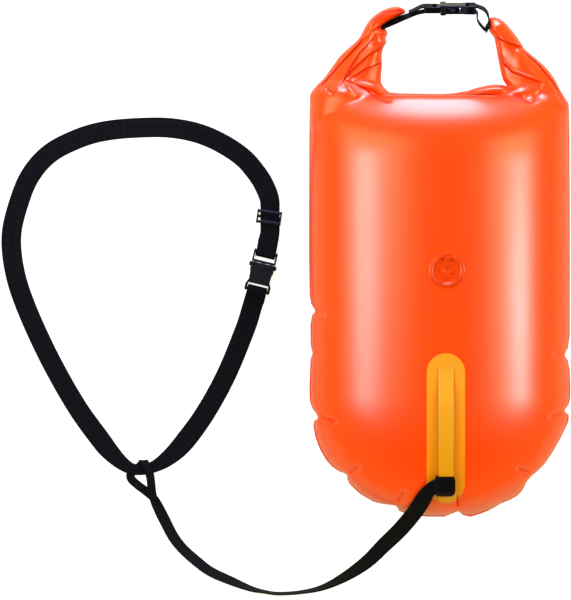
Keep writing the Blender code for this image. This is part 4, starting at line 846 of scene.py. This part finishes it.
def build_film():
    """Front and back skins, the weld that joins them and the empty pouch inside."""
    front = grid_piece("front_film", "film", FILM_COLUMNS, FILM_ROWS, film_place(1))
    delete_faces(front, lambda c: c.z > SEAM_Z and math.dist(c[:2], VALVE) < VALVE_HOLE_RADIUS)
    back = grid_piece("back_film", "back_film", FILM_COLUMNS, FILM_ROWS, film_place(-1))
    with editing(back):
        bpy.ops.mesh.flip_normals()
    for film, node in ((front, "front_panel"), (back, "back_panel")):
        # Painted shade along the first overlap's edge, the top edge and the side creases
        paint_crease_shade(film, [(LEFT_LAPS[0][0], LAP_PAINTED_SHADE)] + TOP_EDGE_CREASES + SIDE_CREASES)
        shade(film, 60)
        dress(film, "buoy", node)

    weld = grid_piece("seam_weld", "film", 2, WELD_ROWS, weld_place)
    add_modifier(weld, "SOLIDIFY", thickness=WELD_THICKNESS, offset=0)
    shade(weld, 60)
    dress(weld, "buoy")

    sheet = grid_piece("pouch_film", "pouch", 24, 60, pouch_place)
    add_modifier(sheet, "SOLIDIFY", thickness=POUCH_THICKNESS, offset=0)
    shade(sheet)
    dress(sheet, "buoy", "dry_pouch")


def weld_place(u, v):
    """Flat welded rim: v follows the seam from the left shoulder round the bottom to the right."""
    place = (2 * v - 1) * (SEAM_LENGTH - TOP_CORNER_RADIUS)
    reach = np.abs(place)
    side = np.sign(place)
    arc = np.clip((reach - BOTTOM_FLAT / 2) / BOTTOM_END_RADIUS, 0, math.pi / 2)
    out = np.column_stack([side * np.sin(arc), -np.cos(arc)])
    x = side * (np.minimum(reach, BOTTOM_FLAT / 2) + BOTTOM_END_RADIUS * np.sin(arc))
    y = BOTTOM_CENTRE_Y - BOTTOM_END_RADIUS * np.cos(arc) + np.maximum(reach - SEAM_ARC, 0)
    inset = np.interp(place, *OUTLINE) + WELD_INSIDE - (WELD_INSIDE + WELD_OUTSIDE) * u
    flat = np.column_stack([x, y]) - out * inset[:, None]
    return np.column_stack([flat, np.full(len(u), SEAM_Z)])


def pouch_place(u, v):
    """The pouch lies flat between the skins, a little slack."""
    y = BOTTOM_SEAM_Y + (TOP_SEAM_Y - BOTTOM_SEAM_Y) * (0.04 + 0.92 * v)
    x = (half_width(y) - POUCH_MARGIN) * (2 * u - 1)
    slack = POUCH_SLACK * np.sin(x * POUCH_WAVES[0]) * np.cos(y * POUCH_WAVES[1])
    return np.stack([x, y, SEAM_Z + slack], axis=1)


def smooth_path(points, step):
    """Even points along a smooth curve through chosen ones; every column is carried along."""
    ends = [points[0]] + list(points) + [points[-1]]
    dense = []
    count = 12
    for before, start, end, after in zip(ends, ends[1:], ends[2:], ends[3:]):
        for i in range(count):
            t = i / count
            dense.append([
                0.5 * (2 * b + (c - a) * t + (2 * a - 5 * b + 4 * c - d) * t * t
                       + (3 * b - a - 3 * c + d) * t ** 3)
                for a, b, c, d in zip(before, start, end, after)
            ])
    dense.append(list(points[-1]))
    dense = np.array(dense)
    lengths = np.concatenate([[0], np.cumsum(np.linalg.norm(np.diff(dense[:, :3], axis=0), axis=1))])
    pieces = max(round(lengths[-1] / step), 2)
    targets = np.linspace(0, lengths[-1], pieces + 1)
    return np.stack([np.interp(targets, lengths, dense[:, k]) for k in range(dense.shape[1])], axis=1)


def ribbon(name, path, width, thickness, widths=None, rolls=None, guide=None, first_width=None, ease=0,
           columns=8):
    """Webbing along a path: level across, or kept towards a guide, or rolled about its run."""
    points = [Vector(point[:3]) for point in path]
    across = None
    sides = []
    for i, point in enumerate(points):
        run = points[min(i + 1, len(points) - 1)] - points[max(i - 1, 0)]
        level = guide - guide.project(run) if guide else Vector((run.y, -run.x, 0))
        if level.length > run.length * 0.02:
            level.normalize()
            across = level if across is None or level.dot(across) >= 0 else -level
        roll = math.radians(rolls[i]) if rolls is not None else 0
        side = Matrix.Rotation(roll, 3, run.normalized()) @ across
        if first_width and i < ease:
            side = first_width.lerp(side, i / ease).normalized()
        sides.append(side * width / 2 * (widths[i] if widths is not None else 1))
    middle, side = np.array(points), np.array(sides)
    count = len(points) - 1
    length = np.linalg.norm(np.diff(middle, axis=0), axis=1).sum()

    def place(u, v):
        row = np.rint(v * count).astype(int)
        return middle[row] + side[row] * (2 * u - 1)[:, None]

    strap = grid_piece(name, "webbing", columns, count, place, (width, length))
    add_modifier(strap, "SOLIDIFY", thickness=thickness, offset=0, use_even_offset=True)
    add_modifier(strap, "BEVEL", width=thickness * 0.3, segments=2, limit_method="ANGLE",
                 angle_limit=math.radians(50))
    shade(strap, 50)
    return strap, middle, length


def hairpin(bar_edge, open_edge, side, thickness, share):
    """Side view of webbing that turns round a buckle's bar, from the side given to the other."""
    radius = BAR_HALF_DEPTH * share + thickness / 2 + GAP
    steps = 10
    facing = 1 if bar_edge > open_edge else -1
    turn = [(bar_edge * share + facing * radius * math.sin(math.pi * k / steps),
             side * radius * math.cos(math.pi * k / steps)) for k in range(steps + 1)]
    return [(open_edge * share, side * radius)] + turn + [(open_edge * share, -side * radius)]


def belt_path():
    """The belt's whole route: its end, round the male bar, the waist loop and round the female bar."""
    matrix = (Matrix.Translation((*BELT_BUCKLE_PLACE, COLLAR_HALF_DEPTH))
              @ Matrix.Rotation(BELT_BUCKLE_TURN, 4, "Z"))

    def lie(points):
        return [(*(matrix @ Vector((along, 0, out))), 1) for along, out in points]

    male = lie(hairpin(BAR_END, 0, -1, BELT_THICKNESS, 1))
    female = lie(hairpin(TAIL_BAR_START, BUCKLE_LENGTH, -1, BELT_THICKNESS, 1))
    drop = COLLAR_HALF_DEPTH
    sewn = lie([(BUCKLE_LENGTH + 2 * BELT_THICKNESS, BELT_THICKNESS - LAYER_GAP),
                (BUCKLE_LENGTH + 6 * BELT_THICKNESS, 3 * BELT_THICKNESS - LAYER_GAP - drop),
                (BUCKLE_LENGTH + BELT_WIDTH / 2, 3 * BELT_THICKNESS - LAYER_GAP - drop)])
    tail, route = [[tuple(point) for point in smooth_path(part, BELT_STEP)]
                   for part in (BELT_TAIL, BELT_ROUTE)]
    return tail + male + route + female + sewn


def build_cords():
    """The tether with its eye, and the belt, each along the route that the frame has."""
    path = smooth_path(TETHER_ROUTE, TETHER_STEP)
    slope = front_point(PATCH_X, HITCH_TOP_Y) - front_point(PATCH_X, HITCH_BOTTOM_Y)
    tether, line, length = ribbon("tether_strap", path, TETHER_WIDTH, TETHER_THICKNESS,
                                  widths=path[:, 4], rolls=path[:, 3],
                                  first_width=slope.normalized(), ease=8)
    eye_path = smooth_path(EYE_ROUTE, EYE_STEP)
    eye, _, _ = ribbon("eye_strap", eye_path, EYE_WIDTH, EYE_THICKNESS, guide=Vector((1, 0, 0)))
    path = belt_path()
    belt, belt_line, belt_length = ribbon("belt_strap", path, BELT_WIDTH, BELT_THICKNESS,
                                          widths=[point[3] for point in path])
    for piece, node in ((tether, "tether_webbing"), (eye, "tether_eye"), (belt, "belt_webbing")):
        dress(piece, "buoy", node)


def film_arm(name, stations, folds, laps, seed, node=None, foot_drop=0.0, rows=230, columns=340):
    """Twisted stretch of rolled film between two edges seen from above, with its folds and overlaps."""
    path = smooth_path([(*from_pixel(*a), 0.0, *from_pixel(*b), h * MM) for a, b, h in stations], ARM_STEP)
    picks = np.linspace(0, len(path) - 1, rows + 1)
    dense = np.stack([np.interp(picks, range(len(path)), path[:, k]) for k in range(path.shape[1])], axis=1)

    def place(u, v):
        row = np.rint(v * rows).astype(int)
        a, b, high = dense[row, :2], dense[row, 3:5], dense[row, 5]
        angle = 2 * math.pi * u
        ends = run_out(v, ARM_END_STEEPNESS) ** 0.5
        across, tall = [np.sign(wave) * np.abs(wave) ** ARM_POWER
                        for wave in (np.cos(angle), np.sin(angle))]
        ripple = 1 + sum(size * np.sin(turns * angle + rise * v + seed)
                         for size, turns, rise in ARM_RIPPLES)
        flat = (a + b) / 2 + (a - b) / 2 * (across * ends)[:, None]
        z = SEAM_Z + high * tall * ripple * ends
        points = np.column_stack([flat, z])
        height = np.abs(points[:, 2] - SEAM_Z)
        film = film_height(points[:, 0], points[:, 1]) - ARM_SINK * np.abs(across) ** 6
        film += swell(points[:, 0], points[:, 1]) * (tall > 0)
        height = (height + film + np.hypot(height - film, ARM_BLEND)) / 2
        height -= ARM_BLEND / 2 * (1 - np.abs(tall))
        depth = pressed(points[:, :2], folds) + lapped(points[:, :2], laps)
        height -= np.minimum(depth * np.clip(np.abs(tall) * 2, 0, 1), height * 0.7)
        height -= foot_drop * (1 - eased(v / ARM_FOOT_SHARE))
        points[:, 2] = SEAM_Z + np.sign(tall) * np.maximum(height, 0)
        return points

    piece = grid_piece(name, "film", columns, rows, place)
    merge_doubles(piece)
    # Painted shade along the overlaps and the side creases
    paint_crease_shade(piece, [(line, LAP_PAINTED_SHADE) for line, _, _ in laps] + SIDE_CREASES)
    shade(piece, 70)
    dress(piece, "buoy", node)


def film_lip(name, line):
    """Curled fold of film where an arm turns out of the top seam."""
    dense = smooth_path([(*from_pixel(*pixel), 0.0, size * MM) for pixel, size in line], LIP_STEP)
    rows, columns = len(dense) - 1, 28

    def place(u, v):
        row = np.rint(v * rows).astype(int)
        angle = 2 * math.pi * u
        size = dense[row, 3]
        y = dense[row, 1] + size * LIP_SHARES[0] * np.cos(angle)
        z = SEAM_Z + LIP_LIFT + size * LIP_SHARES[1] * np.sin(angle)
        return np.column_stack([dense[row, 0], y, z])

    piece = grid_piece(name, "film", columns, rows, place)
    merge_doubles(piece)
    shade(piece, 70)
    dress(piece, "buoy")


def build_roll():
    """The rolled top: two standing arms with their tips and lips, and the roll behind the seam."""
    film_arm("roll_arm_left", LEFT_ARM, LEFT_FOLDS, LEFT_LAPS, 0.0, "roll_end_left", ARM_FOOT_DROP)
    film_arm("roll_tip_left", LEFT_TIP, [], TIP_LAPS, 1.0, rows=90, columns=120)
    film_arm("roll_arm_right", RIGHT_ARM, RIGHT_FOLDS, RIGHT_LAPS, 2.0, "roll_end_right", ARM_FOOT_DROP)
    film_lip("roll_lip_left", LEFT_LIP)
    film_lip("roll_lip_right", RIGHT_LIP)

    path = smooth_path(ROLL_MIDDLE, ROLL_STEP)
    rows = len(path) - 1
    run = np.gradient(path, axis=0)
    run /= np.linalg.norm(run, axis=1, keepdims=True)

    def place(u, v):
        row = np.rint(v * rows).astype(int)
        angle = 2 * math.pi * u
        ends = run_out(v, ROLL_END_STEEPNESS) ** 0.5
        across = np.column_stack([run[row, 1], -run[row, 0], np.zeros(len(u))])
        fold = 1 + 0.10 * np.cos(3 * angle + 6 * v)
        y = across * (np.cos(angle) * ROLL_MIDDLE_HALF[0] * fold * ends)[:, None]
        z = np.sin(angle) * ROLL_MIDDLE_HALF[1] * fold * ends
        return path[row] + y + np.column_stack([0 * z, 0 * z, z])

    roll = grid_piece("roll_behind", "film", 40, rows, place)
    merge_doubles(roll)
    shade(roll, 70)
    dress(roll, "buoy", "roll_middle")


def build_roll_straps():
    """The two webbing tabs that hold the roll's buckle, on edge."""
    flat = math.cos(ROLL_BUCKLE_TILT)
    half = BELT_WIDTH * ROLL_BUCKLE_SHARE / 2
    x, y = ROLL_BUCKLE_PLACE
    jobs = (
        ("roll_tab_left", "roll_strap_left", LEFT_STRAP_BEFORE, LEFT_STRAP_AFTER, (BAR_END, 0, -1)),
        ("roll_tab_right", "roll_strap_right", RIGHT_STRAP_BEFORE, RIGHT_STRAP_AFTER,
         (TAIL_BAR_START, BUCKLE_LENGTH, 1)),
    )
    for name, node, before, after, (bar_edge, open_edge, side) in jobs:
        turn = [(x + along, y + out * flat) for along, out in hairpin(
            bar_edge, open_edge, side, ROLL_STRAP_THICKNESS, ROLL_BUCKLE_SHARE)]
        ends = [[tuple(point[:2]) for point in smooth_path([(*corner, 0.0) for corner in part], TAB_STEP)]
                for part in (before, after)]
        path = np.array(ends[0] + turn + ends[1])
        rows = len(path) - 1

        def place(u, v):
            row = np.rint(v * rows).astype(int)
            middle = np.column_stack([path[row], np.full(len(u), SEAM_Z)])
            eased = np.clip((len(ends[0]) - row) / (0.7 * len(ends[0])), 0, 1)
            lean = ROLL_BUCKLE_TILT + (ROLL_STRAP_LEAN - ROLL_BUCKLE_TILT) * eased
            across = np.column_stack([0 * lean, np.sin(lean), -np.cos(lean)])
            return middle + across * (half * (2 * u - 1))[:, None]

        length = np.linalg.norm(np.diff(path, axis=0), axis=1).sum()
        tab = grid_piece(name, "webbing", 10, rows, place, (2 * half, length))
        add_modifier(tab, "SOLIDIFY", thickness=ROLL_STRAP_THICKNESS, offset=0)
        shade(tab, 50)
        dress(tab, "buoy", node)


def build_valve():
    """Oral inflation valve: welded flange with its lip, stem, plug on its tab and inner flap."""
    jobs = (
        ("valve_ring", "valve", RING_PROFILE, 72, "buoy", "valve_flange"),
        ("valve_tube", "valve", STEM_PROFILE, 72, "valve_stem", "valve_stem"),
        ("valve_stopper", "valve", PLUG_PROFILE, 72, "valve_plug", "valve_plug"),
        ("valve_leaf", "pouch", FLAP_PROFILE, 48, "valve_flap", "valve_flap"),
    )
    for name, material, profile, vertices, body, node in jobs:
        dress(lathe(name, material, profile, vertices), body, node)

    def tab_place(u, v):
        y = TAB_START + v * TAB_LENGTH
        z = TAB_LOW + TAB_CLIMB * eased((y - TAB_CLIMB_START) / TAB_CLIMB_LENGTH)
        wide = TAB_HALF_WIDTH - TAB_WAIST * np.sin(v * math.pi)
        return np.column_stack([VALVE[0] + wide * (2 * u - 1), VALVE[1] + y, VALVE_FACE_Z + z])

    tab = grid_piece("valve_strap", "valve", 12, 20, tab_place)
    add_modifier(tab, "SOLIDIFY", thickness=TAB_THICKNESS, offset=0)
    add_modifier(tab, "BEVEL", width=TAB_THICKNESS / 3, segments=2, limit_method="ANGLE",
                 angle_limit=math.radians(50))
    shade(tab, 40)
    dress(tab, "valve_plug")


def band_lift(y):
    """Height of the band's underside over its seat on the patch."""
    below, above = y - BAND_BOTTOM_Y - BAND_FOOT, BAND_TOP_Y - BAND_FOOT - y
    return BAND_LIFT * eased(np.minimum(below / BAND_RISE, above / BAND_TOP_RISE))


def build_lash_handle():
    """Welded patch with its raised rim, the lash band over it, and the tether's hitch round it."""
    radius = PATCH_HALF_WIDTH
    straight_top = PATCH_TOP_Y - radius
    straight_bottom = PATCH_BOTTOM_Y + radius

    def patch_place(u, v):
        points = []
        for a, b in zip(u, v):
            turn = math.sin((b - 0.5) * math.pi) / 2 + 0.5
            y = PATCH_BOTTOM_Y + (PATCH_TOP_Y - PATCH_BOTTOM_Y) * turn
            end = max(straight_bottom - y, y - straight_top, 0)
            half = math.sqrt(max(radius ** 2 - end ** 2, 0))
            points.append(front_point(PATCH_X + half * (2 * a - 1), y, PATCH_LIFT))
        return points

    patch = grid_piece("lash_patch", "patch", 24, 90, patch_place)
    merge_doubles(patch)
    add_modifier(patch, "SOLIDIFY", thickness=PATCH_THICKNESS, offset=-1)
    shade(patch, 50)
    dress(patch, "buoy", "handle_patch")

    def frame_at(y):
        foot = front_point(PATCH_X, y)
        normal = (front_point(PATCH_X, y, PATCH_LIFT) - foot).normalized()
        left, right = [front_point(PATCH_X + way * BAND_HALF_WIDTH, y) for way in (-1, 1)]
        return foot, normal, (right - left).normalized(), (foot - (right + left) / 2).dot(normal)

    def loop_place(y_low, y_high, count, half, low, high, soft=(0.35, 0.45), ends=0.0, shift=0.0):
        frames = [frame_at(y_low + (y_high - y_low) * k / count) for k in range(count + 1)]

        def place(u, v):
            points = []
            for a, b in zip(u, v):
                k = round(b * count)
                foot, normal, side, crown = frames[k]
                y = y_low + (y_high - y_low) * k / count
                seat = 2 * GAP + PATCH_LIFT + float(band_lift(np.array(y)))
                angle = 2 * math.pi * a
                taper = 1 - ends * abs(2 * b - 1) ** 5
                x = shift + half * taper * math.copysign(abs(math.cos(angle)) ** soft[0], math.cos(angle))
                tall = math.copysign(abs(math.sin(angle)) ** soft[1], math.sin(angle))
                z = seat + (low + high) / 2 + (high - low) / 2 * tall
                z -= crown * (abs(x) / BAND_HALF_WIDTH) ** 2 * 0.9
                points.append(foot + side * x + normal * z)
            return points

        return place

    band = grid_piece("lash_band", "band", 48, BAND_ROWS,
                      loop_place(BAND_BOTTOM_Y, BAND_TOP_Y, BAND_ROWS, BAND_HALF_WIDTH, 0, BAND_THICKNESS))
    merge_doubles(band)
    close_ends(band)
    # A line of painted shade along the band's right edge
    paint_crease_shade(band, [(BAND_EDGE_SHADE_LINE, 0.45)])
    shade(band, 40)
    dress(band, "buoy", "handle_band")

    hitch = grid_piece("hitch_wrap", "webbing", 48, HITCH_ROWS,
                       loop_place(HITCH_BOTTOM_Y, HITCH_TOP_Y, HITCH_ROWS, BAND_HALF_WIDTH + 2 * HITCH_WALL,
                                  -GAP - HITCH_WALL, BAND_THICKNESS + GAP + 1.5 * HITCH_WALL, (0.5, 0.6),
                                  0.2, HITCH_SHIFT),
                       HITCH_UV)
    merge_doubles(hitch)
    add_modifier(hitch, "SOLIDIFY", thickness=HITCH_WALL, offset=-1)
    shade(hitch, 50)
    dress(hitch, "buoy", "tether_hitch")


def close_ends(piece):
    """Fill the open ends of a tube."""
    with editing(piece, "DESELECT"):
        bpy.ops.mesh.select_mode(type="EDGE")
        bpy.ops.mesh.select_non_manifold(extend=False)
        bpy.ops.mesh.edge_face_add()
        bpy.ops.mesh.select_all(action="SELECT")
        bpy.ops.mesh.normals_make_consistent(inside=False)


def dress_plastics():
    """The buckles and the slider keep the frame's shapes, with a moulded finish."""
    for name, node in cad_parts.items():
        if "buckle" in name or "slider" in name:
            node.data.materials.clear()
            node.data.materials.append(MATERIALS["dull_acetal" if name.startswith("roll") else "acetal"])


def build_camera():
    """Camera straight above, far enough off that the view is almost parallel."""
    centre = from_pixel(PICTURE[0] / 2, PICTURE[1] / 2)
    data = bpy.data.cameras.new("camera")
    data.sensor_fit = "VERTICAL"
    data.sensor_height = SENSOR
    data.sensor_width = SENSOR
    data.lens = SENSOR * CAMERA_DISTANCE / (PICTURE[1] * PIXEL)
    data.clip_end = 100
    camera = bpy.data.objects.new("camera", data)
    camera.location = (*centre, FOCUS_HEIGHT + CAMERA_DISTANCE)
    bpy.context.scene.collection.objects.link(camera)
    bpy.context.scene.camera = camera


def build_studio():
    """Pale floor, the softboxes with the fill over them, and a sky that is dark overhead."""
    deselect()
    bpy.ops.mesh.primitive_plane_add(size=FLOOR_SIZE, location=(0, 0, -FLOOR_DROP))
    floor = claim("studio_floor", "paper")
    for name, place, turns, size, radiance in SOFTBOXES:
        data = bpy.data.lights.new(name, "AREA")
        data.shape = "RECTANGLE"
        data.size, data.size_y = size
        data.energy = radiance * math.pi * size[0] * size[1]
        lamp = bpy.data.objects.new(name, data)
        lamp.location = place
        lamp.rotation_euler = (math.radians(turns[0]), math.radians(turns[1]), 0)
        if "core" in name or "top" in name:
            # The radiance in the table is that of the lamp's red and green
            data.color = linear(CORE_COLOUR)[:3]
            data.energy /= min(data.color)
        if "fill" in name:
            lamp.visible_glossy = False
            data.cycles.use_multiple_importance_sampling = False
            data.color = linear(FILL_COLOUR)[:3]
        bpy.context.scene.collection.objects.link(lamp)
    world = bpy.data.worlds.new("studio")
    world.use_nodes = True
    tree = world.node_tree
    direction = add(tree, "ShaderNodeTexCoord").outputs["Generated"]
    height = add(tree, "ShaderNodeSeparateXYZ", Vector=direction).outputs["Z"]
    stops = [(place, linear(colour)) for place, colour in WORLD_STOPS]
    sky = add(tree, "ShaderNodeValToRGB", {"stops": stops}, Fac=height)
    tree.links.new(sky.outputs["Color"], tree.nodes["Background"].inputs["Color"])
    bpy.context.scene.world = world
    bpy.context.scene.view_settings.view_transform = "Standard"


OUTLINE = outline_table()
MATERIALS = build_materials()
MATERIALS["paper"] = studio_paper("white_paper_sweep")
build_camera()
build_cords()
build_studio()
build_film()
build_roll()
build_roll_straps()
build_valve()
build_lash_handle()
dress_plastics()
